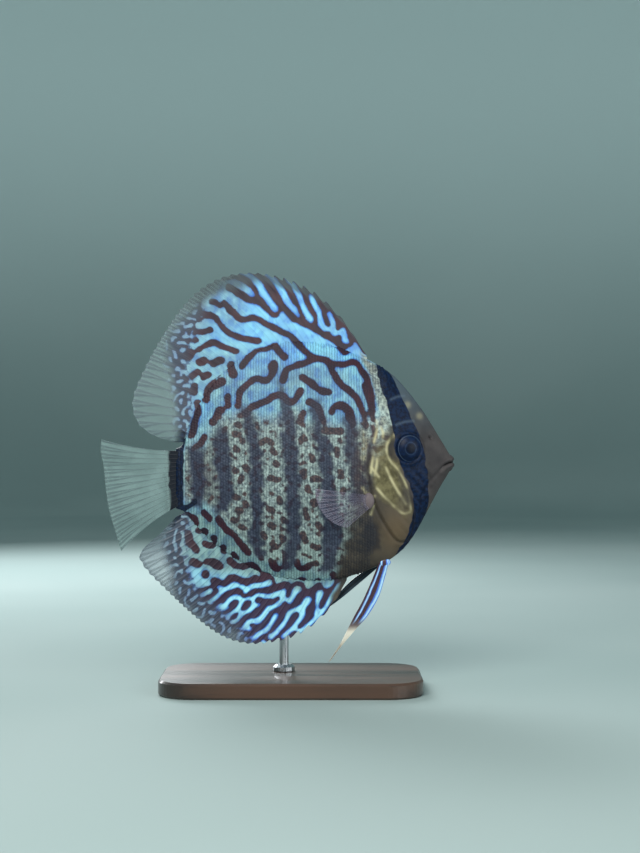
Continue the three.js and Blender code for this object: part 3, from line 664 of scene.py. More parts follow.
def body_section(x, angle):
    """Points of the smooth body at each station and angle, in millimetres."""
    share = np.abs(np.sin(angle))
    upper = np.sin(angle) > 0
    ahead = np.clip((x - SNOUT_X) / NOSE_LENGTH, 0, 1)
    at = np.minimum(x, SNOUT_X)
    middle = middle_height(at)
    reach = np.where(upper, back_height(at), belly_height(at)) - middle
    shrink = np.sqrt(np.maximum(1 - ahead**2, 0))
    stem = STEM_SHARE + (1 - STEM_SHARE) * ramp(TAIL_X, TAIL_X + 3.5, at)
    side = side_at(at, share, upper) * shrink * stem
    z = middle + share * reach * shrink
    return side, z


def skin_relief(x, z, side):
    """How far the skin stands out from the smooth body, in millimetres, and the painted shade drawn in its
    mouth slit, nostril and gill cover's groove.
    """
    open_side = ramp(1.6, 3.2, side)
    cover = edge_distance(x, z, COVER_OUTLINE)
    rise = COVER_RISE * (1 - ramp(-0.9, 0.1, cover)) * open_side
    rise = rise - GROOVE_DEPTH * bell(cover - COVER_GROOVE, 0.42) * open_side
    rise = rise - INNER_DEPTH * bell(line_distance(x, z, INNER_COVER), 0.55) * open_side
    eye = np.hypot((x - EYE_X) / EYE_RADII[0], (z - EYE_Z) / EYE_RADII[2])
    rise = rise + ORBIT_RISE * bell(eye - 0.98, 0.1) - SOCKET_DEPTH * (1 - ramp(0.66, 0.86, eye))
    nostril = np.hypot(x - NOSTRIL_X, (z - NOSTRIL_Z) / 1.2)
    rise = rise - NOSTRIL_DEPTH * bell(nostril, 0.5) + NOSTRIL_RISE * bell(nostril - 0.95, 0.3)
    mouth = line_distance(x, z, MOUTH_LINE)
    rise = rise + LIP_RISE * ramp(61.6, 65.0, x) * bell(mouth - 1.25, 0.8)
    rise = rise - MOUTH_DEPTH * ramp(62.6, 63.6, x) * bell(mouth, 0.36)
    rise = rise - JAW_DEPTH * bell(line_distance(x, z, JAW_LINE), 0.6) * open_side
    cheek_folds = FOLD_HEIGHT * np.sin(2.1 * (x * 0.75 + z * 0.66)) * ramp(44, 50, x) * (1 - ramp(58, 62, x))
    rise = rise + cheek_folds * open_side * ramp(1.25, 1.7, eye) * (1 - ramp(84, 96, z))
    drawn = {
        # Painted shade: the mouth slit and the nostril's pit are darkened in the colour.
        "slit_shade": bell(mouth, 0.34) * ramp(63.6, 65.4, x) + 0.7 * bell(nostril, 0.45),
        # Painted shade along the gill cover's groove.
        "cover_groove_shade": bell(cover - COVER_GROOVE, 0.5) * open_side,
    }
    return rise, drawn


def build_skin():
    """One closed skin over the body, from the tail stem to the lips."""
    trunk = np.linspace(TAIL_X, HEAD_FROM, TRUNK_STATIONS)[:-1]
    head = np.linspace(HEAD_FROM, SNOUT_X, HEAD_STATIONS)[:-1]
    nose = SNOUT_X + NOSE_LENGTH * np.sin(np.linspace(0, 0.97, NOSE_STATIONS) * math.pi / 2)
    x = np.concatenate([trunk, head, nose])
    turn = np.linspace(0, 2 * math.pi, RING_POINTS, endpoint=False)
    grid_x, grid_turn = np.meshgrid(x, turn, indexing="ij")
    # Points crowd towards the back and belly, where the section turns sharply.
    angle = np.arcsin(np.clip(np.sin(grid_turn), -1, 1))
    sign = np.where(np.cos(grid_turn) >= 0, -1.0, 1.0)
    side, z = body_section(grid_x, angle)
    y = sign * side * np.minimum(np.abs(np.cos(grid_turn)) * 6, 1)
    rise, drawn = skin_relief(grid_x, z, side)
    places = np.stack([grid_x, y, z], -1)
    normal = np.cross(np.gradient(places, axis=1), np.gradient(places, axis=0))
    normal /= np.maximum(np.linalg.norm(normal, axis=-1, keepdims=True), 1e-9)
    outward = np.sign((normal[..., 1] * y + normal[..., 2] * (z - middle_height(grid_x))).sum())
    places = places + normal * outward * rise[..., None]
    flat = places.reshape(-1, 3)
    high, wide = places.shape[:2]
    faces = grid_faces(high, wide, closed=True, flip=True)
    tail_middle, nose_middle = len(flat), len(flat) + 1
    ends = np.array([[TAIL_X, 0, middle_height(TAIL_X)], [x[-1] + 0.02, 0, middle_height(SNOUT_X)]])
    for i in range(wide):
        k = (i + 1) % wide
        faces.append([tail_middle, i, k])
        faces.append([nose_middle, (high - 1) * wide + k, (high - 1) * wide + i])
    flat = np.concatenate([flat, ends])
    values = markings(flat[:, 0], flat[:, 1], flat[:, 2])
    for key, field in drawn.items():
        values[key] = np.concatenate([field.ravel(), [0, 0]])
    return make_piece("skin", flat, faces, values)


# Scales.
SCALE_ROW, SCALE_STEP = 1.12, 1.04  # from scale to scale round the body and along it, in millimetres
SCALE_EDGE = [
    (-0.50, 0.0), (-0.36, 0.36), (0.0, 0.52), (0.42, 0.42), (0.60, 0.0), (0.42, -0.42), (0.0, -0.52),
    (-0.36, -0.36),
]
# A scale's upper and lower edges, each as a size and a height, and its highest point.
SCALE_TOP, SCALE_FOOT, SCALE_CROWN = (1.08, 0.03), (0.98, -0.12), (-0.08, 0, 0.10)
SCALE_RIM = [1.0, 0.8, 0.25, 0.55, 1.0, 0.55, 0.25, 0.8]  # how dark each point of the edge is
SCALE_LIFT = 0.08  # radians, so that each rear edge lies over the next scale's root
SCALE_CLEARANCE = 0.02  # how far out from the smooth body the scales' roots lie, in millimetres
SCALES_FROM, SCALES_TO = TAIL_X + 1.2, 56
SIZE_VARIATION = 0.07
# Each side's own seeds for the scales' places, sizes and darkness, by its sign.
PLACE_SEED, SIZE_SEED, GRAIN_SEED = {-1: 101, 1: 202}, {-1: 7, 1: 8}, {-1: 299, 1: 301}
X_JITTER, ANGLE_JITTER = 0.1, 0.0015  # how far each scale may lie from its even place, mm and radians
# The scales' angles reach this far up and down, in radians, and keep this clear of the ends.
ANGLE_REACH, ANGLE_STEPS, END_GAP = 1.5, 241, 0.2
# How far ahead the scales run at each height, and the bare ring round the breast fin's root.
FRONT_HEIGHTS = [40, 57, 64, 74, 88, 104, 112, 118, 134]
FRONT_PLACES = [34, 38, 37.5, 35.2, 33.6, 36.5, 40.5, 42.5, 38]
BREAST_ROOT_X, BREAST_ROOT_Z, BREAST_ROOT_RADIUS = 33.6, 72.8, 3.0
COVER_CLEARANCE = 0.9
# The bake map: its border, how far round the body it reaches in millimetres, and each scale's patch.
MAP_BORDER, MAP_REACH, PATCH_SIZE = 0.02, 60, 0.0026


def scale_roots(sign):
    """Places, outward normals and lattice coordinates of the scales of one side."""
    stations = np.arange(SCALES_FROM, SCALES_TO, SCALE_STEP)
    angles = np.linspace(-ANGLE_REACH, ANGLE_REACH, ANGLE_STEPS)
    roots = []
    for number, x in enumerate(stations):
        side, z = body_section(np.full(angles.shape, x), angles)
        along = np.concatenate([[0], np.cumsum(np.hypot(np.diff(side), np.diff(z)))])
        along -= np.interp(0, angles, along)
        start = SCALE_ROW * (0.5 if number % 2 else 0)
        first = math.ceil((along[0] + END_GAP - start) / SCALE_ROW)
        last = math.floor((along[-1] - END_GAP - start) / SCALE_ROW)
        wanted = start + SCALE_ROW * np.arange(first, last + 1)
        roots.append(np.stack([np.full(wanted.shape, x), np.interp(wanted, along, angles), wanted], -1))
    x, angle, along = np.concatenate(roots).T
    random = np.random.default_rng(PLACE_SEED[sign])
    x = x + random.uniform(-X_JITTER, X_JITTER, len(x))
    angle = angle + random.uniform(-ANGLE_JITTER, ANGLE_JITTER, len(x))
    side, z = body_section(x, angle)
    step = 0.01
    side_x, z_x = body_section(x + step, angle)
    side_a, z_a = body_section(x, angle + step)
    ahead = np.stack([np.full(x.shape, step), sign * (side_x - side), z_x - z], -1)
    round_way = np.stack([np.zeros(x.shape), sign * (side_a - side), z_a - z], -1)
    normal = np.cross(ahead, round_way)
    normal /= np.linalg.norm(normal, axis=1, keepdims=True)
    normal *= np.sign(normal[:, 1] * sign)[:, None]
    places = np.stack([x, sign * side, z], -1)
    # The scales stop at the gill cover, the face, the eye and the breast fin's root.
    cover = edge_distance(x, z, COVER_OUTLINE)
    front = np.interp(z, FRONT_HEIGHTS, FRONT_PLACES)
    fin_root = np.hypot(x - BREAST_ROOT_X, z - BREAST_ROOT_Z)
    keep = (cover > COVER_CLEARANCE) & (x < front) & (fin_root > BREAST_ROOT_RADIUS)
    return places[keep], normal[keep], x[keep], along[keep]


def scale_tree():
    """Puts a copy of the scale at each point, turned and sized by the point's own values."""
    tree = bpy.data.node_groups.new("scales", "GeometryNodeTree")
    kinds = {"Geometry": "Geometry", "Scale": "Object", "Material": "Material"}
    kinds |= {"Seed": "Int", "Variation": "Float"}
    for name, kind in kinds.items():
        tree.interface.new_socket(name, in_out="INPUT", socket_type="NodeSocket" + kind)
    tree.interface.new_socket("Geometry", in_out="OUTPUT", socket_type="NodeSocketGeometry")
    nodes, links = tree.nodes, tree.links
    given, out = nodes.new("NodeGroupInput"), nodes.new("NodeGroupOutput")
    points = nodes.new("GeometryNodeMeshToPoints")
    source = nodes.new("GeometryNodeObjectInfo")
    place = nodes.new("GeometryNodeInstanceOnPoints")
    turn = nodes.new("GeometryNodeInputNamedAttribute")
    turn.data_type = "FLOAT_VECTOR"
    turn.inputs["Name"].default_value = "turn"
    size = nodes.new("FunctionNodeRandomValue")
    size.data_type = "FLOAT"
    grow = nodes.new("ShaderNodeMath")
    grow.operation = "ADD"
    grow.inputs[1].default_value = 1.0
    shrink = nodes.new("ShaderNodeMath")
    shrink.operation = "SUBTRACT"
    shrink.inputs[0].default_value = 1.0
    real = nodes.new("GeometryNodeRealizeInstances")
    paint = nodes.new("GeometryNodeSetMaterial")
    limits = {socket.name: socket for socket in size.inputs if socket.type == "VALUE"}
    chosen = next(socket for socket in size.outputs if socket.type == "VALUE")
    for start, end in (
        (given.outputs["Geometry"], points.inputs["Mesh"]),
        (points.outputs["Points"], place.inputs["Points"]),
        (given.outputs["Scale"], source.inputs["Object"]),
        (source.outputs["Geometry"], place.inputs["Instance"]),
        (turn.outputs[0], place.inputs["Rotation"]),
        (given.outputs["Variation"], grow.inputs[0]),
        (given.outputs["Variation"], shrink.inputs[1]),
        (shrink.outputs[0], limits["Min"]),
        (grow.outputs[0], limits["Max"]),
        (given.outputs["Seed"], size.inputs["Seed"]),
        (chosen, place.inputs["Scale"]),
        (place.outputs["Instances"], real.inputs["Geometry"]),
        (real.outputs["Geometry"], paint.inputs["Geometry"]),
        (given.outputs["Material"], paint.inputs["Material"]),
        (paint.outputs["Geometry"], out.inputs["Geometry"]),
    ):
        links.new(start, end)
    return tree


def scale_pattern():
    """One scale, a thin closed plate with a low ridge, its rear edge towards -X and its face up +Z."""
    edge = np.array(SCALE_EDGE)
    top = np.c_[edge * SCALE_ROW * SCALE_TOP[0], np.full(len(edge), SCALE_TOP[1])]
    low = np.c_[edge * SCALE_ROW * SCALE_FOOT[0], np.full(len(edge), SCALE_FOOT[1])]
    crown = np.array([SCALE_CROWN])
    places = np.concatenate([top, low, crown])
    count = len(edge)
    faces = []
    for i in range(count):
        k = (i + 1) % count
        faces.append([2 * count, k, i])
        faces.append([i, k, count + k, count + i])
    faces.append(list(range(count, 2 * count)))
    return make_piece("scale_pattern", places, faces), len(places)


def scale_turns(normal):
    """How each scale is turned: along the body, with its rear edge lifted a little."""
    back_way = np.tile([-1.0, 0.0, 0.0], (len(normal), 1))
    back_way -= (back_way * normal).sum(1, keepdims=True) * normal
    back_way /= np.linalg.norm(back_way, axis=1, keepdims=True)
    lifted = back_way * math.cos(SCALE_LIFT) + normal * math.sin(SCALE_LIFT)
    face_up = normal * math.cos(SCALE_LIFT) - back_way * math.sin(SCALE_LIFT)
    # The scale's own axes: X points ahead and Z out from the body.
    x_way = -lifted
    y_way = np.cross(face_up, x_way)
    roll = np.arctan2(y_way[:, 2], face_up[:, 2])
    pitch = np.arcsin(np.clip(-x_way[:, 2], -1, 1))
    yaw = np.arctan2(x_way[:, 1], x_way[:, 0])
    return np.stack([roll, pitch, yaw], -1)


def bake_map(mesh, sign, x, along, pattern_size):
    """Gives each scale a small patch at its root's place on the body's unwrap."""
    loops = np.empty(len(mesh.loops), np.int32)
    mesh.loops.foreach_get("vertex_index", loops)
    root = loops // pattern_size
    edge = np.array(SCALE_EDGE)
    local = np.r_[edge, edge * 0.9, [[0, 0]]] * PATCH_SIZE
    half = 0.0 if sign < 0 else 0.5
    across = half + MAP_BORDER + (0.5 - 2 * MAP_BORDER) * (x - TAIL_X) / (SNOUT_X - TAIL_X)
    up = MAP_BORDER + (1 - 2 * MAP_BORDER) * (along + MAP_REACH) / (2 * MAP_REACH)
    uv = np.stack([across[root], up[root]], -1) + local[loops % pattern_size]
    bake = mesh.uv_layers.new(name="OFBake")
    bake.data.foreach_set("uv", uv.astype(np.float32).ravel())


def lay_scales(name, sign, tree, pattern, pattern_size, material):
    """The scales of one side as one plain mesh, with its markings and its bake map."""
    places, normal, x, along = scale_roots(sign)
    base = bpy.data.meshes.new(name + "_points")
    base.from_pydata(((places + normal * SCALE_CLEARANCE) * MM).tolist(), [], [])
    layer = base.attributes.new("turn", "FLOAT_VECTOR", "POINT")
    layer.data.foreach_set("vector", scale_turns(normal).astype(np.float32).ravel())
    piece = bpy.data.objects.new(name, base)
    bpy.context.scene.collection.objects.link(piece)
    maker = piece.modifiers.new("Scales", "NODES")
    maker.node_group = tree
    sockets = {s.name: s.identifier for s in tree.interface.items_tree if s.in_out == "INPUT"}
    maker[sockets["Scale"]] = pattern
    maker[sockets["Material"]] = material
    maker[sockets["Seed"]] = SIZE_SEED[sign]
    maker[sockets["Variation"]] = SIZE_VARIATION
    bpy.context.view_layer.update()
    graph = bpy.context.evaluated_depsgraph_get()
    laid = piece.evaluated_get(graph)
    mesh = bpy.data.meshes.new_from_object(laid, preserve_all_data_layers=True, depsgraph=graph)
    piece.modifiers.clear()
    piece.data = mesh
    mesh.name = name
    count = len(mesh.vertices)
    where = np.empty(count * 3, np.float32)
    mesh.vertices.foreach_get("co", where)
    where = where.reshape(-1, 3) / MM
    values = markings(where[:, 0], where[:, 1], where[:, 2])
    values["rim"] = np.tile(np.r_[SCALE_RIM, SCALE_RIM, 0.0], count // pattern_size)
    grain = np.random.default_rng(GRAIN_SEED[sign]).uniform(0, 1, count // pattern_size)
    values["grain"] = np.repeat(grain, pattern_size)
    for key, numbers in values.items():
        layer = mesh.attributes.new(key, "FLOAT", "POINT")
        layer.data.foreach_set("value", numbers.astype(np.float32))
    mesh.polygons.foreach_set("use_smooth", np.zeros(len(mesh.polygons), bool))
    bake_map(mesh, sign, x, along, pattern_size)
    mesh.update()
    return piece


# Fins. A thin sheet, its rays standing a little above the membrane.
def fin_sheet(middle, thick, grid, across=(0, 1, 0)):
    """Places and faces of a closed sheet of so many columns by rows, and its u and v at each vertex."""
    wide, high = grid
    u, v = np.meshgrid(np.linspace(0, 1, wide), np.linspace(0, 1, high))
    centre = middle(u, v)
    half = thick(u, v)
    across = np.array(across, float)
    sides = [centre + sign * half[..., None] * across for sign in (-1, 1)]
    places = np.concatenate([s.reshape(-1, 3) for s in sides])
    count = wide * high
    near = grid_faces(high, wide)
    far = grid_faces(high, wide, start=count, flip=True)
    border = list(range(wide))
    border += [j * wide + wide - 1 for j in range(1, high)]
    border += [high * wide - 1 - i for i in range(1, wide)]
    border += [(high - 1 - j) * wide for j in range(1, high - 1)]
    rim = [[a, count + a, count + b, b] for a, b in zip(border, border[1:] + border[:1])]
    both = (np.concatenate([u.ravel()] * 2), np.concatenate([v.ravel()] * 2))
    return places, near + far + rim, both


# How far a soft ray's forks and their twigs spread, as shares of the gap between two rays.
FORK_SPREAD, TWIG_SPREAD = 0.22, 0.08
FORKS = 0.5, 0.78  # where along a ray the forks and the twigs begin
FORKED_ALL_ALONG = 2, 3  # above 1, so that the ramps below are full from the root on


def ray_profile(u, v, rays, sharp, forks=FORKS, spines=0):
    """1 on each ray and 0 between, with the soft rays forking twice towards the margin."""
    place = u * (rays - 1)
    off = np.abs(place - np.round(place))
    soft = ramp(spines - 0.6, spines + 0.4, np.round(place))
    fork = FORK_SPREAD * ramp(forks[0], 1.0, v) * soft
    twig = TWIG_SPREAD * ramp(forks[1], 1.0, v) * soft
    first = np.abs(off - fork)
    return bell(np.minimum(np.abs(first - twig), np.abs(first + twig)), sharp)


CURVE_POINTS = 600


def along_curve(points):
    """A function of the share along a smooth curve."""
    dense = smooth_line(points, CURVE_POINTS)
    share = np.linspace(0, 1, CURVE_POINTS)
    return lambda t: np.stack([np.interp(t, share, dense[:, i]) for i in range(dense.shape[1])], -1)


FIN_ROOT_DEPTH = 0.7  # how far inside the body's edge the fins begin, in millimetres
EDGE_POINTS, SLOPE_STEP = 40, 0.4


def edge_path(height, side, start, end):
    """Points just inside the body's edge."""
    x = np.linspace(start, end, EDGE_POINTS)
    slope = (height(x + SLOPE_STEP) - height(x - SLOPE_STEP)) / (2 * SLOPE_STEP)
    long = np.hypot(1, slope)
    away = -side * FIN_ROOT_DEPTH
    return np.c_[x - away * slope / long, height(x) + away / long]


# Half thicknesses of the fins at their roots and of their membranes, and how far a ray stands above them.
MEDIAN_HALF, MEDIAN_LEAST, TAIL_HALF, BREAST_HALF = 0.86, 0.13, 0.9, 0.55
FILM_HALF, BREAST_FILM_HALF = 0.12, 0.1
RAY_HEIGHT, BREAST_RAY_HEIGHT = 0.13, 0.12
NOTCH_DEPTH = 0.1  # how deep the margin is cut between two rays, as a share of the ray


def median_fin(name, rays, spines, base, margin, margin_share, bend, sway, grid, tips):
    """The dorsal or anal fin. Its front margin is dark where tips is 1."""
    base_at, margin_at = along_curve(base), along_curve(margin)
    sway_size, sway_turns = sway

    def middle(u, v):
        root, tip = base_at(u), margin_at(margin_share(u))
        place = u * (rays - 1)
        between = 0.5 - 0.5 * np.cos(2 * math.pi * place)
        spiny = np.maximum(0, 1 - u * rays / (spines + 2))
        cut = NOTCH_DEPTH * (0.2 + 1.15 * spiny) * between
        at = (v * (1 - cut * v))[..., None]
        away = tip - root
        out = root + away * at
        bow = bend * 4 * v * (1 - v)
        x = out[..., 0] - away[..., 1] * bow
        y = sway_size * np.sin(sway_turns * u) * u * v * v
        z = out[..., 1] + away[..., 0] * bow
        return np.stack([x, y, z], -1)

    def thick(u, v):
        ray = ray_profile(u, v, rays, 0.11, spines=spines)
        stem = (1 - v) ** 1.6 + FILM_HALF
        return np.maximum(stem * MEDIAN_HALF + RAY_HEIGHT * ray, MEDIAN_LEAST)

    places, faces, (u, v) = fin_sheet(middle, thick, grid)
    values = markings(places[:, 0], places[:, 1] * 0, places[:, 2])
    values["ray"] = ray_profile(u, v, rays, 0.09, spines=spines)
    values["margin"] = ramp(0.93, 1.0, v)
    values["tips"] = tips * ramp(0.76, 0.9, v + 0.03 * np.sin(40 * u)) * (1 - ramp(0.4, 0.62, u))
    return make_piece(name, places, faces, values)


DORSAL = dict(
    rays=40, spines=9, base=edge_path(back_height, 1, 35.6, -35.4),
    margin=[
        (34.9, 128.6), (30.6, 135.4), (25.1, 143.2), (18.9, 149.6), (12, 154.6), (2, 158.6),
        (-9.3, 160.3), (-21.3, 158.4), (-33, 150.6), (-44.5, 134.9), (-53, 119), (-55.7, 110),
        (-53.6, 102.6), (-47.4, 97.6), (-38.6, 94.9),
    ],
    margin_share=through([[0, 0], [0.1, 0.2], [0.3, 0.39], [0.5, 0.55], [0.75, 0.72], [0.9, 0.87], [1, 1]]),
    bend=-0.03, sway=(1.5, 9), grid=(391, 108), tips=1.0,
)
ANAL = dict(
    rays=36, spines=8, base=edge_path(belly_height, -1, 27.6, -35),
    margin=[
        (27.2, 41.6), (24.2, 35.8), (19.6, 29.4), (13.9, 24.1), (6.9, 20), (-1.2, 17.9), (-9.3, 17.2),
        (-17, 18.6), (-24, 22), (-33, 29), (-43.6, 39.1), (-50.4, 46.4), (-52.6, 51), (-50.4, 54.6),
        (-45, 59.4), (-38.2, 66.4),
    ],
    margin_share=through([[0, 0], [0.1, 0.2], [0.3, 0.4], [0.5, 0.54], [0.75, 0.7], [0.9, 0.84], [1, 1]]),
    bend=0.03, sway=(-1.3, 8), grid=(351, 92), tips=0.0,
)
TAIL_RAYS, TAIL_FORKS, TAIL_GRID = 15, (0.3, 0.6), (337, 74)
TAIL_ROOT_HEIGHTS = 91.6, 81, 70.2
TAIL_MARGIN = [
    (-67.9, 96), (-68.2, 91.6), (-67, 84.6), (-66.2, 77), (-65, 69.6), (-62.8, 61.4), (-60.2, 52.6),
]
TAIL_DRIFT = 4.5  # how far its rear edge lies to the far side, in millimetres


def build_tail():
    """The clear tail fin, spread as a fan and drifting to the far side."""
    root_x = TAIL_X + FIN_ROOT_DEPTH
    root_at = along_curve([(root_x, height) for height in TAIL_ROOT_HEIGHTS])
    edge_at = along_curve(TAIL_MARGIN)

    def middle(u, v):
        root, edge = root_at(u), edge_at(u)
        out = root + (edge - root) * v[..., None]
        outer = np.abs(2 * u - 1) ** 3
        z = out[..., 1] + outer * np.where(u < 0.5, -1.1, 1.7) * 4 * v * (1 - v)
        return np.stack([out[..., 0], TAIL_DRIFT * v * v + 0.7 * np.sin(7 * u) * v, z], -1)

    def thick(u, v):
        ray = ray_profile(u, v, TAIL_RAYS, 0.07, TAIL_FORKS)
        return TAIL_HALF * (1 - v) ** 2.2 + FILM_HALF + RAY_HEIGHT * ray

    places, faces, (u, v) = fin_sheet(middle, thick, TAIL_GRID)
    stem = markings(places[:, 0], 0 * v, places[:, 2])["stem"]
    values = {
        "ray": ray_profile(u, v, TAIL_RAYS, 0.055, TAIL_FORKS),
        "root": np.maximum(1 - ramp(0.09, 0.17, v), ramp(0.2, 0.6, stem)),
        "margin": ramp(0.9, 1.0, v),
    }
    return make_piece("tail", places, faces, values)


def ball(centre, radii, rings=20, around=32):
    """A closed ellipsoid with its poles along Y."""
    polar = np.linspace(0, math.pi, rings + 1)[1:-1]
    spin = np.linspace(0, 2 * math.pi, around, endpoint=False)
    p, s = np.meshgrid(polar, spin, indexing="ij")
    places = np.stack([np.sin(p) * np.cos(s), -np.cos(p), np.sin(p) * np.sin(s)], -1).reshape(-1, 3)
    places = np.concatenate([places, [[0, -1, 0], [0, 1, 0]]]) * np.array(radii)
    faces = grid_faces(rings - 1, around, closed=True)
    low, high = (rings - 1) * around, (rings - 1) * around + 1
    for i in range(around):
        k = (i + 1) % around
        faces.append([low, k, i])
        faces.append([high, (rings - 2) * around + i, (rings - 2) * around + k])
    return places + np.array(centre), faces


BREAST_X, BREAST_Z = 34.8, 72.8
BREAST_SPLAY = 0.25  # how far it stands out from the body, in radians
BREAST_RAYS, BREAST_FORKS, BREAST_GRID = 11, (0.4, 0.7), (181, 60)
BREAST_UPPER, BREAST_FAN = 2.95, 1.0  # the upper ray's direction and the fan's spread, in radians
BREAST_LONG, BREAST_SHORTER = 22.5, 10.0  # the upper ray's length, and how much shorter the lowest is, mm
BREAST_KNOB = 2.2, 1.3, 3.1


def build_pectoral(name, sign):
    """A clear breast fin, fanned to the rear, with a knob of skin at its root."""
    root_y = float(side_at_height(BREAST_X, BREAST_Z)) + 0.9

    def middle(u, v):
        angle = BREAST_UPPER + BREAST_FAN * u
        long = (BREAST_LONG - BREAST_SHORTER * u**1.2) * (1 - 0.06 * (1 - u) ** 2)
        out = v * long
        back = np.cos(angle) * out + 1.2
        rise = np.sin(angle) * out + (2.1 - 4.4 * u) * (1 - v * 0.6)
        lean = BREAST_SPLAY * -back + 0.6 * np.sin(5 * u) * v
        return np.stack([BREAST_X + back, sign * (root_y + lean), BREAST_Z + rise], -1)

    def thick(u, v):
        ray = ray_profile(u, v, BREAST_RAYS, 0.08, BREAST_FORKS)
        return BREAST_HALF * (1 - v) ** 2.4 + BREAST_FILM_HALF + BREAST_RAY_HEIGHT * ray

    way = (math.sin(BREAST_SPLAY) * sign, math.cos(BREAST_SPLAY), 0)
    places, faces, (u, v) = fin_sheet(middle, thick, BREAST_GRID, way)
    values = {
        "ray": ray_profile(u, v, BREAST_RAYS, 0.06, BREAST_FORKS),
        "root": 1 - ramp(0.02, 0.2, v),
        "margin": ramp(0.92, 1.0, v),
    }
    knob = ball((BREAST_X + 0.6, sign * (root_y - 0.4), BREAST_Z), BREAST_KNOB)
    count = len(knob[0])
    knob_values = {"ray": np.ones(count), "root": np.ones(count), "margin": np.zeros(count)}
    return make_piece(name, *joined([(places, faces, values), (*knob, knob_values)]))


PELVIC_RAYS, PELVIC_GRID = 6, (61, 150)
PELVIC_KNOB, KNOB_REACH = (2.5, 0.95, 1.7), 2.2
PELVIC_RIGHT = dict(
    front=[
        (43.6, -3, 50.2), (41.9, -3.6, 43.4), (39.7, -4.3, 36.4), (35.6, -4.9, 29.2), (30.8, -5.3, 23.7),
        (25.6, -5.5, 17.6), (20.8, -5.6, 11.3),
    ],
    rear=[
        (39.4, -2.9, 48.2), (36.4, -3.5, 41), (33.4, -4.1, 34.4), (30.2, -4.7, 28.6), (27.4, -5.2, 23.2),
        (24.4, -5.5, 17.4), (20.2, -5.6, 11),
    ],
    root=(41.6, -2.9, 48.9),
)
PELVIC_LEFT = dict(
    front=[
        (42.8, 3, 49.4), (36.6, 3.5, 44), (31, 3.9, 39.2), (25.5, 4.2, 34.6), (19, 4.5, 29.8),
        (12.5, 4.7, 25.4),
    ],
    rear=[
        (38.8, 2.9, 47.9), (34, 3.4, 45), (29.5, 3.8, 41.6), (24.6, 4.2, 36.9), (18.3, 4.5, 30.8),
        (12, 4.7, 26),
    ],
    root=(41, 2.9, 48.6),
)


def build_pelvic(name, front, rear, root):
    """A narrow belly fin between its front and rear edges, with a knob at its root."""
    front_at, rear_at = along_curve(front), along_curve(rear)

    def middle(u, v):
        return front_at(v) * (1 - u[..., None]) + rear_at(v) * u[..., None]

    def thick(u, v):
        ray = ray_profile(u, v, PELVIC_RAYS, 0.12, FORKED_ALL_ALONG)
        return (0.62 - 0.42 * v**0.6) * (0.55 + 0.35 * ray + 0.3 * bell(u, 0.1))

    places, faces, (u, v) = fin_sheet(middle, thick, PELVIC_GRID)
    values = {"u": u, "v": v, "ray": ray_profile(u, v, PELVIC_RAYS, 0.1, FORKED_ALL_ALONG)}
    knob = ball(root, PELVIC_KNOB)
    knob_u = np.clip((root[0] + KNOB_REACH - knob[0][:, 0]) / (2 * KNOB_REACH), 0, 1)
    knob_values = {"u": knob_u, "v": np.zeros(len(knob_u)), "ray": np.zeros(len(knob_u))}
    return make_piece(name, *joined([(places, faces, values), (*knob, knob_values)]))


# Shallow rings in the eyeball, as shares of its radius, with their depths in millimetres.
EYE_RINGS = [(0.36, 0.05), (0.8, 0.1)]
RING_WIDTH = 0.03


def build_eye(name, sign):
    """An eyeball with a shallow ring round the pupil and another near the rim."""
    places, faces = ball((0, 0, 0), EYE_RADII, 64, 96)
    radial = np.hypot(places[:, 0] / EYE_RADII[0], places[:, 2] / EYE_RADII[2])
    outward = places[:, 1] * sign > 0
    step = -sum(depth * bell(radial - place, RING_WIDTH) for place, depth in EYE_RINGS)
    places[:, 1] += np.where(outward, sign * step, 0)
    turn = -sign * EYE_TURN
    c, d = math.cos(turn), math.sin(turn)
    x, y, z = places.T
    places = np.stack([c * x - d * y, d * x + c * y, z], -1)
    places += np.array([EYE_X, sign * EYE_Y, EYE_Z])
    return make_piece(name, places, faces, {"radial": radial})


# Materials.
def colour(red, green, blue):
    """A colour picked on a screen, as the shader takes it."""
    def linear(c):
        c = c / 255
        return c / 12.92 if c <= 0.04045 else ((c + 0.055) / 1.055) ** 2.4
    return (linear(red), linear(green), linear(blue), 1.0)


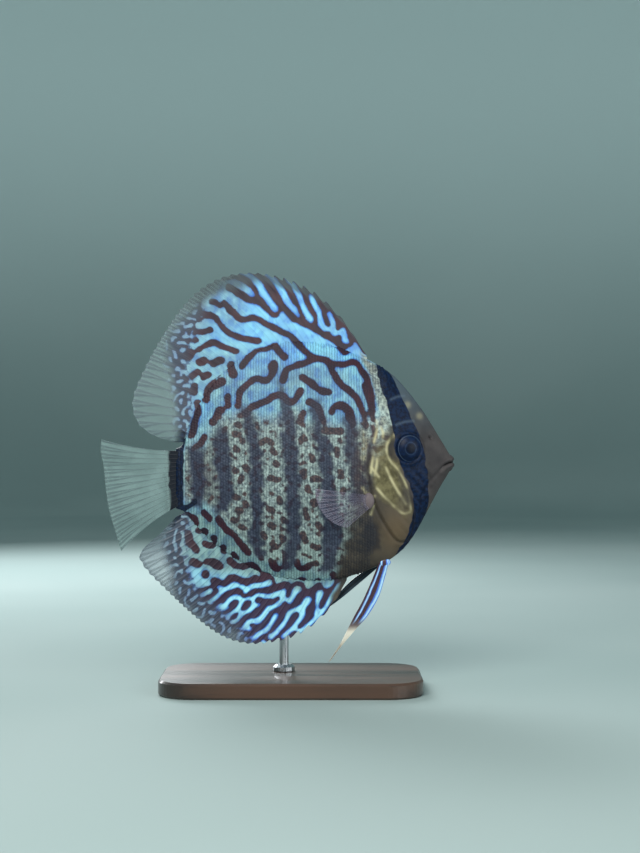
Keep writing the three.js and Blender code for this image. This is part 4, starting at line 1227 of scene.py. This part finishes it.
class Look:
    """A material and short ways to add nodes to it."""

    def __init__(self, name):
        self.material = bpy.data.materials.new(name)
        self.material.use_nodes = True
        self.nodes = self.material.node_tree.nodes
        self.links = self.material.node_tree.links
        self.shader = self.nodes["Principled BSDF"]

    def put(self, socket, value):
        """Links a socket to another, or gives it a number or a colour."""
        if isinstance(value, bpy.types.NodeSocket):
            self.links.new(value, socket)
        else:
            socket.default_value = value

    def field(self, name):
        """A named value of the mesh."""
        node = self.nodes.new("ShaderNodeAttribute")
        node.attribute_name = name
        return node.outputs["Fac"]

    def noise(self, scale, detail=2.0, stretch=(1, 1, 1), distortion=0.0):
        """Noise on Object coordinates, with scale in patches for each metre."""
        place = self.nodes.new("ShaderNodeTexCoord")
        fit = self.nodes.new("ShaderNodeMapping")
        fit.inputs["Scale"].default_value = stretch
        node = self.nodes.new("ShaderNodeTexNoise")
        node.inputs["Scale"].default_value = scale
        node.inputs["Detail"].default_value = detail
        node.inputs["Distortion"].default_value = distortion
        self.links.new(place.outputs["Object"], fit.inputs["Vector"])
        self.links.new(fit.outputs["Vector"], node.inputs["Vector"])
        return node.outputs["Fac"]

    def height(self):
        """Height above the floor, in metres."""
        place = self.nodes.new("ShaderNodeTexCoord")
        split = self.nodes.new("ShaderNodeSeparateXYZ")
        self.links.new(place.outputs["Object"], split.inputs["Vector"])
        return split.outputs["Z"]

    def math(self, kind, a, b):
        """Two values brought together by one kind of arithmetic."""
        node = self.nodes.new("ShaderNodeMath")
        node.operation = kind
        self.put(node.inputs[0], a)
        self.put(node.inputs[1], b)
        return node.outputs[0]

    def times(self, a, b):
        """The product of two values."""
        return self.math("MULTIPLY", a, b)

    def plus(self, a, b):
        """Two values added together."""
        return self.math("ADD", a, b)

    def part(self, name, share):
        """A share of a named value of the mesh."""
        return self.times(self.field(name), share)

    def ramp(self, value, low, high, start=0.0, end=1.0):
        """Goes smoothly from start at low to end at high."""
        node = self.nodes.new("ShaderNodeMapRange")
        node.interpolation_type = "SMOOTHSTEP"
        for socket, number in zip(node.inputs[:5], (value, low, high, start, end)):
            self.put(socket, number)
        return node.outputs["Result"]

    def hump(self, value, rise_from, rise_to, fall_from, fall_to):
        """1 between two soft edges, and 0 outside them."""
        rise = self.ramp(value, rise_from, rise_to)
        return self.times(rise, self.ramp(value, fall_from, fall_to, 1.0, 0.0))

    def mix(self, factor, a, b):
        """Goes from colour a at 0 to colour b at 1."""
        node = self.nodes.new("ShaderNodeMix")
        node.data_type = "RGBA"
        self.put(node.inputs["Factor"], factor)
        for name, value in (("A", a), ("B", b)):
            self.put(next(s for s in node.inputs if s.name == name and s.type == "RGBA"), value)
        return next(s for s in node.outputs if s.type == "RGBA")

    def tint(self, base, factor, shade):
        """The base turned towards a picked colour by the factor."""
        return self.mix(factor, base, colour(*shade))

    def mottle(self, pattern, low, high, first, second):
        """The first picked colour where the pattern is low and the second where it is high."""
        return self.mix(self.ramp(pattern, low, high), colour(*first), colour(*second))

    def bump(self, height, distance, strength):
        """Small relief in the shading, with its distance in metres."""
        node = self.nodes.new("ShaderNodeBump")
        node.inputs["Strength"].default_value = strength
        node.inputs["Distance"].default_value = distance
        self.put(node.inputs["Height"], height)
        self.links.new(node.outputs["Normal"], self.shader.inputs["Normal"])

    def finish(self, **sockets):
        """Fills the shader's sockets and gives the material."""
        for name, value in sockets.items():
            self.put(self.shader.inputs[name.replace("_", " ")], value)
        return self.material


class Coat(Look):
    """A look that begins with the coat's colours, from its markings."""

    def __init__(self, name):
        super().__init__(name)
        self.fine = self.noise(900, 3)
        self.broad = self.noise(110, 3)
        self.patch = self.noise(330, 2, (1.0, 0.3, 0.7))
        self.low = self.ramp(self.height(), 0.050, 0.064, 0.65, 0.0)
        ragged = self.times(self.math("SUBTRACT", self.noise(1300, 2), 0.5), 0.55)
        self.mark = self.plus(self.field("mark"), ragged)

    def fin_ground(self):
        """Blue between the stripes, darker beside them, with a pale core, and duller towards the rear."""
        glow, height = self.field("glow"), self.height()
        between = self.ramp(glow, 0.42, 0.84)
        bright = self.mottle(self.broad, 0.36, 0.64, (58, 122, 190), (94, 168, 202))
        vivid = self.mix(self.ramp(height, 0.019, 0.030), colour(84, 132, 228), bright)
        core = self.times(self.ramp(glow, 0.55, 0.85), self.ramp(height, 0.03, 0.06, 0.8, 0.26))
        vivid = self.tint(vivid, core, (164, 228, 238))
        vivid = self.mix(between, self.tint(vivid, 0.8, (34, 74, 170)), vivid)
        vivid = self.tint(vivid, self.ramp(self.patch, 0.36, 0.5, 0.35, 0.0), (46, 100, 196))
        pale = self.mottle(self.broad, 0.35, 0.65, (90, 126, 148), (118, 156, 166))
        pale = self.tint(pale, self.ramp(self.patch, 0.32, 0.5, 0.55, 0.0), (52, 88, 150))
        pale = self.tint(pale, self.ramp(self.patch, 0.52, 0.7, 0.0, 0.6), (150, 196, 196))
        vivid = self.mix(self.part("dull", 0.8), vivid, pale)
        pale = self.mix(between, self.tint(pale, 0.5, (48, 74, 112)), pale)
        return self.mix(self.field("blue"), pale, vivid)

    def middle_ground(self):
        """Cream between the flank's spots, dusky by the tail stem and tawny by the gill cover."""
        cream = self.mottle(self.fine, 0.3, 0.68, (92, 101, 102), (163, 180, 173))
        cream = self.tint(cream, self.part("dusky", 0.8), (88, 84, 80))
        cream = self.tint(cream, self.low, (158, 180, 172))
        tawny = self.mottle(self.fine, 0.3, 0.68, (80, 70, 60), (150, 140, 112))
        return self.mix(self.part("tawny", 0.7), cream, tawny)

    def ground(self):
        """All of the coat between its dark marks."""
        grey_green = self.mottle(self.patch, 0.35, 0.6, (84, 110, 112), (120, 148, 142))
        made = self.mix(self.part("belly_grey", 0.75), self.fin_ground(), grey_green)
        made = self.tint(made, self.part("rear", 0.75), (116, 136, 154))
        return self.mix(self.part("middle", 0.9), made, self.middle_ground())

    def marked(self, ground):
        """The ground with its marks: dark red stripes, brown spots, and grey between the rear dots."""
        rear, middle = self.field("rear"), self.field("middle")
        red = self.mottle(self.broad, 0.4, 0.6, (34, 18, 32), (52, 25, 35))
        red = self.tint(red, self.ramp(self.height(), 0.024, 0.052, 0.7, 0.0), (50, 44, 74))
        brown = self.mottle(self.fine, 0.4, 0.6, (56, 50, 56), (82, 67, 66))
        dark = self.tint(self.mix(middle, red, brown), rear, (58, 66, 80))
        rim = self.mix(middle, self.tint(ground, 0.6, (26, 36, 84)), self.mix(0.45, ground, brown))
        made = self.mix(self.ramp(self.mark, 0.30, 0.46), ground, rim)
        return self.mix(self.ramp(self.mark, 0.42, 0.66), made, dark)

    def barred(self, made):
        """The flank's dark bars over the coat, lighter low down and browner by the gill cover."""
        shade = self.mottle(self.fine, 0.36, 0.64, (34, 40, 60), (49, 55, 76))
        shade = self.tint(shade, self.ramp(self.mark, 0.35, 0.7, 0.0, 0.7), (38, 30, 42))
        shade = self.tint(shade, self.times(self.low, 0.6), (66, 70, 88))
        shade = self.tint(shade, self.field("tawny"), (60, 50, 54))
        return self.mix(self.part("bar", 0.94), made, shade)

    def face(self):
        """Olive brown, gold on the gill cover, tan on the throat and greyer on the snout."""
        olive = self.mottle(self.broad, 0.35, 0.65, (48, 46, 44), (72, 66, 58))
        gold = self.mottle(self.noise(420, 3), 0.32, 0.68, (70, 65, 44), (104, 98, 70))
        made = self.mix(self.field("gold"), olive, gold)
        tan = self.mix(self.broad, colour(80, 68, 52), colour(100, 86, 68))
        made = self.mix(self.field("tan"), made, tan)
        grey = self.mottle(self.broad, 0.35, 0.65, (46, 43, 44), (64, 60, 60))
        grey = self.tint(grey, self.ramp(self.height(), 0.094, 0.12), (66, 78, 86))
        made = self.mix(self.field("snout"), made, grey)
        return self.tint(made, self.part("bar", 0.7), (30, 32, 40))

    def coat(self):
        """The whole coat: ground, marks, bars, face, pale gleams and the black band and stem."""
        made = self.barred(self.marked(self.ground()))
        made = self.mix(self.field("face"), made, self.face())
        made = self.tint(made, self.part("gleam", 0.85), (190, 182, 142))
        black = self.mottle(self.fine, 0.4, 0.6, (3, 14, 34), (8, 27, 54))
        for name in ("band", "stem"):
            made = self.mix(self.ramp(self.field(name), 0.3, 0.7), made, black)
        return self.tint(made, self.field("pale_lines"), (84, 100, 116))


def skin_look():
    """The smooth skin, with painted shade in the mouth slit and nostril and faint painted shade along the
    groove round the gill cover.
    """
    look = Coat("fish_skin")
    # Painted shade: dark in the mouth slit and nostril, and faintly along the gill cover's groove.
    made = look.tint(look.coat(), look.ramp(look.field("slit_shade"), 0.2, 0.8), (18, 16, 18))
    made = look.tint(made, look.ramp(look.field("cover_groove_shade"), 0.1, 1.0, 0.0, 0.35), (40, 36, 34))
    look.bump(look.noise(2600, 3), 0.00012, 0.5)
    return look.finish(Base_Color=made, Roughness=0.48, Specular_IOR_Level=0.12)


SCALE_SHADE = 20, 26, 38


def scale_look():
    """The scales, dark at their rims, and each a little darker or lighter than the next."""
    look = Coat("fish_scales")
    made = look.coat()
    edge = look.ramp(look.field("rim"), 0.25, 1.0, 0.0, 0.8)
    made = look.mix(edge, made, look.tint(made, 0.72, SCALE_SHADE))
    grain = look.times(look.field("grain"), look.plus(look.part("middle", 0.4), 0.3))
    made = look.mix(grain, made, look.tint(made, 0.6, SCALE_SHADE))
    return look.finish(Base_Color=made, Roughness=0.5, Specular_IOR_Level=0.22)


def fin_look():
    """The back and belly fins: the coat, and beyond its edge a clear film with grey rays."""
    look = Coat("striped_fin")
    ray, clear = look.field("ray"), look.field("clear")
    film = look.mottle(look.height(), 0.05, 0.08, (92, 104, 120), (134, 156, 156))
    made = look.mix(clear, look.coat(), look.tint(film, ray, (92, 106, 114)))
    made = look.tint(made, look.part("tips", 0.8), (50, 62, 66))
    made = look.tint(made, look.times(ray, 0.12), (30, 36, 52))
    film_alpha = look.plus(look.plus(look.times(ray, 0.3), 0.26), look.part("margin", 0.18))
    covered = look.math("SUBTRACT", 1.0, clear)
    alpha = look.math("MINIMUM", look.plus(covered, look.times(clear, film_alpha)), 1.0)
    look.bump(ray, 0.00018, 0.6)
    return look.finish(Base_Color=made, Alpha=alpha, Roughness=0.45, Specular_IOR_Level=0.4)


def clear_look(name, root_colour, film_colour, film_alpha, ray_colour, ray_alpha):
    """A clear fin with grey rays, covered in skin at its root."""
    look = Look(name)
    ray, root = look.field("ray"), look.field("root")
    made = look.tint(look.mix(ray, colour(*film_colour), colour(*ray_colour)), root, root_colour)
    film = look.ramp(look.noise(160, 3), 0.3, 0.7, film_alpha * 0.7, film_alpha * 1.3)
    alpha = look.plus(look.plus(look.times(ray, ray_alpha), film), look.part("margin", 0.1))
    alpha = look.math("MINIMUM", look.plus(alpha, root), 1.0)
    look.bump(ray, 0.00015, 0.6)
    return look.finish(Base_Color=made, Alpha=alpha, Roughness=0.5, Specular_IOR_Level=0.2)


def pelvic_look(near):
    """Blue stripes along dark red, with a pale streamer, on the near side. The far side's is dull: darker,
    greyer colours as painted shade.
    """
    look = Look("belly_fin_near" if near else "belly_fin_far")
    u, v = look.field("u"), look.field("v")
    at = look.plus(u, look.times(look.math("SUBTRACT", look.noise(180, 2), 0.5), 0.16))
    front = look.ramp(at, 0.30, 0.40, 1.0, 0.0)
    blue = look.math("MAXIMUM", front, look.hump(at, 0.62, 0.70, 0.80, 0.88))
    # The far fin's darker, greyer colours are painted shade.
    strong = colour(64, 112, 206) if near else colour(52, 70, 84)
    dark = colour(62, 34, 42) if near else colour(34, 42, 48)
    made = look.mix(blue, dark, strong)
    if near:
        front_core, second_core = look.hump(at, 0.02, 0.12, 0.16, 0.30), look.hump(at, 0.66, 0.73, 0.75, 0.84)
        core = look.math("MAXIMUM", front_core, second_core)
        made = look.tint(made, look.times(core, 0.9), (182, 226, 246))
        made = look.tint(made, look.ramp(v, 0.52, 0.62), (96, 84, 84))
        streamer = look.mottle(look.noise(240, 2), 0.4, 0.6, (236, 232, 216), (212, 200, 182))
        made = look.mix(look.ramp(v, 0.6, 0.7), made, streamer)
    made = look.tint(made, look.part("ray", 0.18), (24, 26, 34))
    look.bump(look.field("ray"), 0.00018, 0.6)
    return look.finish(Base_Color=made, Roughness=0.36, Coat_Weight=0.2)


def eye_look():
    """A dark blue eye with a black pupil and two faint paler rings."""
    look = Look("eye")
    radial = look.field("radial")
    deep = look.mottle(look.noise(700, 3), 0.35, 0.65, (4, 16, 38), (8, 26, 54))
    made = look.mix(look.ramp(radial, 0.24, 0.36), colour(2, 9, 26), deep)
    inner = look.hump(radial, 0.34, 0.38, 0.39, 0.44)
    made = look.tint(made, look.times(inner, 0.3), (54, 72, 94))
    outer = look.hump(radial, 0.77, 0.8, 0.8, 0.83)
    made = look.tint(made, look.times(outer, 0.4), (92, 108, 124))
    return look.finish(Base_Color=made, Roughness=0.4, Specular_IOR_Level=0.14)


def wood_look():
    """Dark polished wood, its grain along the base."""
    look = Look("dark_wood")
    grain = look.noise(90, 6, (0.12, 1.0, 1.0), 0.6)
    pores = look.noise(900, 2, (0.08, 1.0, 1.0))
    made = look.mottle(grain, 0.34, 0.66, (38, 26, 20), (74, 50, 36))
    made = look.tint(made, look.ramp(pores, 0.6, 0.72, 0.0, 0.5), (22, 15, 12))
    look.bump(pores, 0.00012, 0.4)
    return look.finish(Base_Color=made, Roughness=look.ramp(grain, 0.3, 0.7, 0.3, 0.44), Coat_Weight=0.3)


def steel_look():
    """Steel, brushed along the rod."""
    look = Look("brushed_steel")
    lines = look.noise(1400, 3, (1.0, 1.0, 0.04))
    made = look.mottle(lines, 0.3, 0.7, (160, 164, 168), (196, 199, 202))
    look.bump(lines, 0.00004, 0.4)
    return look.finish(Base_Color=made, Metallic=1.0, Roughness=look.ramp(lines, 0.3, 0.7, 0.24, 0.38))


def dress(piece, material, slot, *nodes):
    """Gives a piece its material and its place in the frame."""
    piece.data.materials.clear()
    piece.data.materials.append(material)
    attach(piece, "root")
    if nodes:
        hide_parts(*nodes)


skin = build_skin()
dress(skin, skin_look(), "body_skin", "head", "trunk", "tail_stem", "gill_cover_right", "gill_cover_left")
scales = scale_look()
tree = scale_tree()
pattern, pattern_size = scale_pattern()
for side_name, side_sign in (("scales_right", -1), ("scales_left", 1)):
    dress(lay_scales(side_name, side_sign, tree, pattern, pattern_size, scales), scales, "body_skin")
bpy.data.objects.remove(pattern)

striped = fin_look()
dress(median_fin("dorsal", **DORSAL), striped, "striped_fin", "dorsal_fin")
dress(median_fin("anal", **ANAL), striped, "striped_fin", "anal_fin")
clear_tail = clear_look(
    "clear_tail", root_colour=(12, 18, 28), film_colour=(140, 164, 162), film_alpha=0.3,
    ray_colour=(84, 100, 104), ray_alpha=0.34,
)
dress(build_tail(), clear_tail, "clear_fin", "tail_fin")
clear_breast = clear_look(
    "clear_breast", root_colour=(96, 86, 88), film_colour=(104, 102, 122), film_alpha=0.12,
    ray_colour=(150, 142, 158), ray_alpha=0.14,
)
dress(build_pectoral("pectoral_right", -1), clear_breast, "clear_fin", "pectoral_fin_right")
dress(build_pectoral("pectoral_left", 1), clear_breast, "clear_fin", "pectoral_fin_left")
dress(build_pelvic("pelvic_right", **PELVIC_RIGHT), pelvic_look(True), "striped_fin", "pelvic_fin_right")
dress(build_pelvic("pelvic_left", **PELVIC_LEFT), pelvic_look(False), "striped_fin", "pelvic_fin_left")
eyes = eye_look()
dress(build_eye("eyeball_right", -1), eyes, "eye", "eye_right")
dress(build_eye("eyeball_left", 1), eyes, "eye", "eye_left")
for node, material in (("stand_base", wood_look()), ("stand_rod", steel_look())):
    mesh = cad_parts[node].data
    mesh.materials.clear()
    mesh.materials.append(material)

# Camera: level, in front of the fish's near side, framed as in the photo.
LENS, SENSOR = 70.0, 36.0
VIEW_X, VIEW_Z = 17.0, 101.0
view_distance = PHOTO_HEIGHT * MM_PER_PIXEL * LENS / SENSOR
camera = bpy.data.objects.new("camera", bpy.data.cameras.new("camera"))
camera.data.lens = LENS
camera.data.sensor_width = SENSOR
camera.location = (VIEW_X * MM, -view_distance * MM, VIEW_Z * MM)
camera.rotation_euler = (math.pi / 2, 0, 0)
bpy.context.scene.collection.objects.link(camera)
bpy.context.scene.camera = camera


def area_light(name, place, aim, size, power, tint):
    """A square soft light at a place in millimetres, aimed at a point."""
    lamp = bpy.data.lights.new(name, "AREA")
    lamp.size, lamp.energy, lamp.color = size * MM, power, tint
    light = bpy.data.objects.new(name, lamp)
    light.location = Vector(place) * MM
    light.rotation_euler = (Vector(aim) - Vector(place)).to_track_quat("-Z", "Y").to_euler()
    light.visible_camera = False
    bpy.context.scene.collection.objects.link(light)


area_light("key", place=(-160, -620, 560), aim=(10, 0, 90), size=460, power=6.8, tint=(1.0, 0.99, 0.96))
area_light("fill", place=(560, -520, 180), aim=(10, 0, 70), size=560, power=4.0, tint=(0.94, 0.98, 1.0))
area_light("back", place=(-260, 560, 420), aim=(0, 0, 90), size=420, power=6.0, tint=(0.96, 0.98, 1.0))

# The backdrop's profile in millimetres: a flat floor, a bend and a wall.
FLOOR_FROM, FLOOR_TO, BEND_RADIUS, WALL_FROM, WALL_TO = 20, 1300, 700, 1000, 2600
FLOOR_STEPS, BEND_STEPS, WALL_STEPS, TURN_STEPS = 14, 16, 5, 96


def backdrop():
    """A plain round floor that curves up into a plain wall on all sides."""
    bend = np.linspace(0, math.pi / 2, BEND_STEPS)[1:]
    floor = np.linspace(FLOOR_FROM, FLOOR_TO, FLOOR_STEPS)
    wall = np.full(WALL_STEPS, float(FLOOR_TO + BEND_RADIUS))
    reach = np.concatenate([floor, FLOOR_TO + BEND_RADIUS * np.sin(bend), wall])
    climb = np.linspace(WALL_FROM, WALL_TO, WALL_STEPS)
    rise = np.concatenate([np.zeros(FLOOR_STEPS), BEND_RADIUS - BEND_RADIUS * np.cos(bend), climb])
    turn = np.linspace(0, 2 * math.pi, TURN_STEPS, endpoint=False)
    x, y = reach[:, None] * np.cos(turn), reach[:, None] * np.sin(turn)
    places = np.stack([x, y, np.repeat(rise[:, None], len(turn), 1)], -1).reshape(-1, 3)
    faces = grid_faces(len(reach), len(turn), closed=True)
    faces.append(list(range(len(turn))))
    piece = make_piece("backdrop", places, faces)
    look = Look("backdrop_paint_and_light")
    paint = look.mottle(look.noise(3, 2), 0.3, 0.7, (140, 156, 154), (150, 164, 162))
    # Painted light: the backdrop grows paler with height, standing in for light on the wall.
    made = look.tint(paint, look.ramp(look.height(), 0.02, 0.7), (226, 242, 240))
    piece.data.materials.append(look.finish(Base_Color=made, Roughness=0.95, Specular_IOR_Level=0.1))


backdrop()
bpy.context.scene.view_settings.view_transform = "Standard"
ROOM_COLOUR, ROOM_STRENGTH = (188, 213, 222), 0.5
world = bpy.data.worlds.new("studio")
bpy.context.scene.world = world
world.use_nodes = True
room = world.node_tree.nodes["Background"]
room.inputs["Color"].default_value = colour(*ROOM_COLOUR)
room.inputs["Strength"].default_value = ROOM_STRENGTH
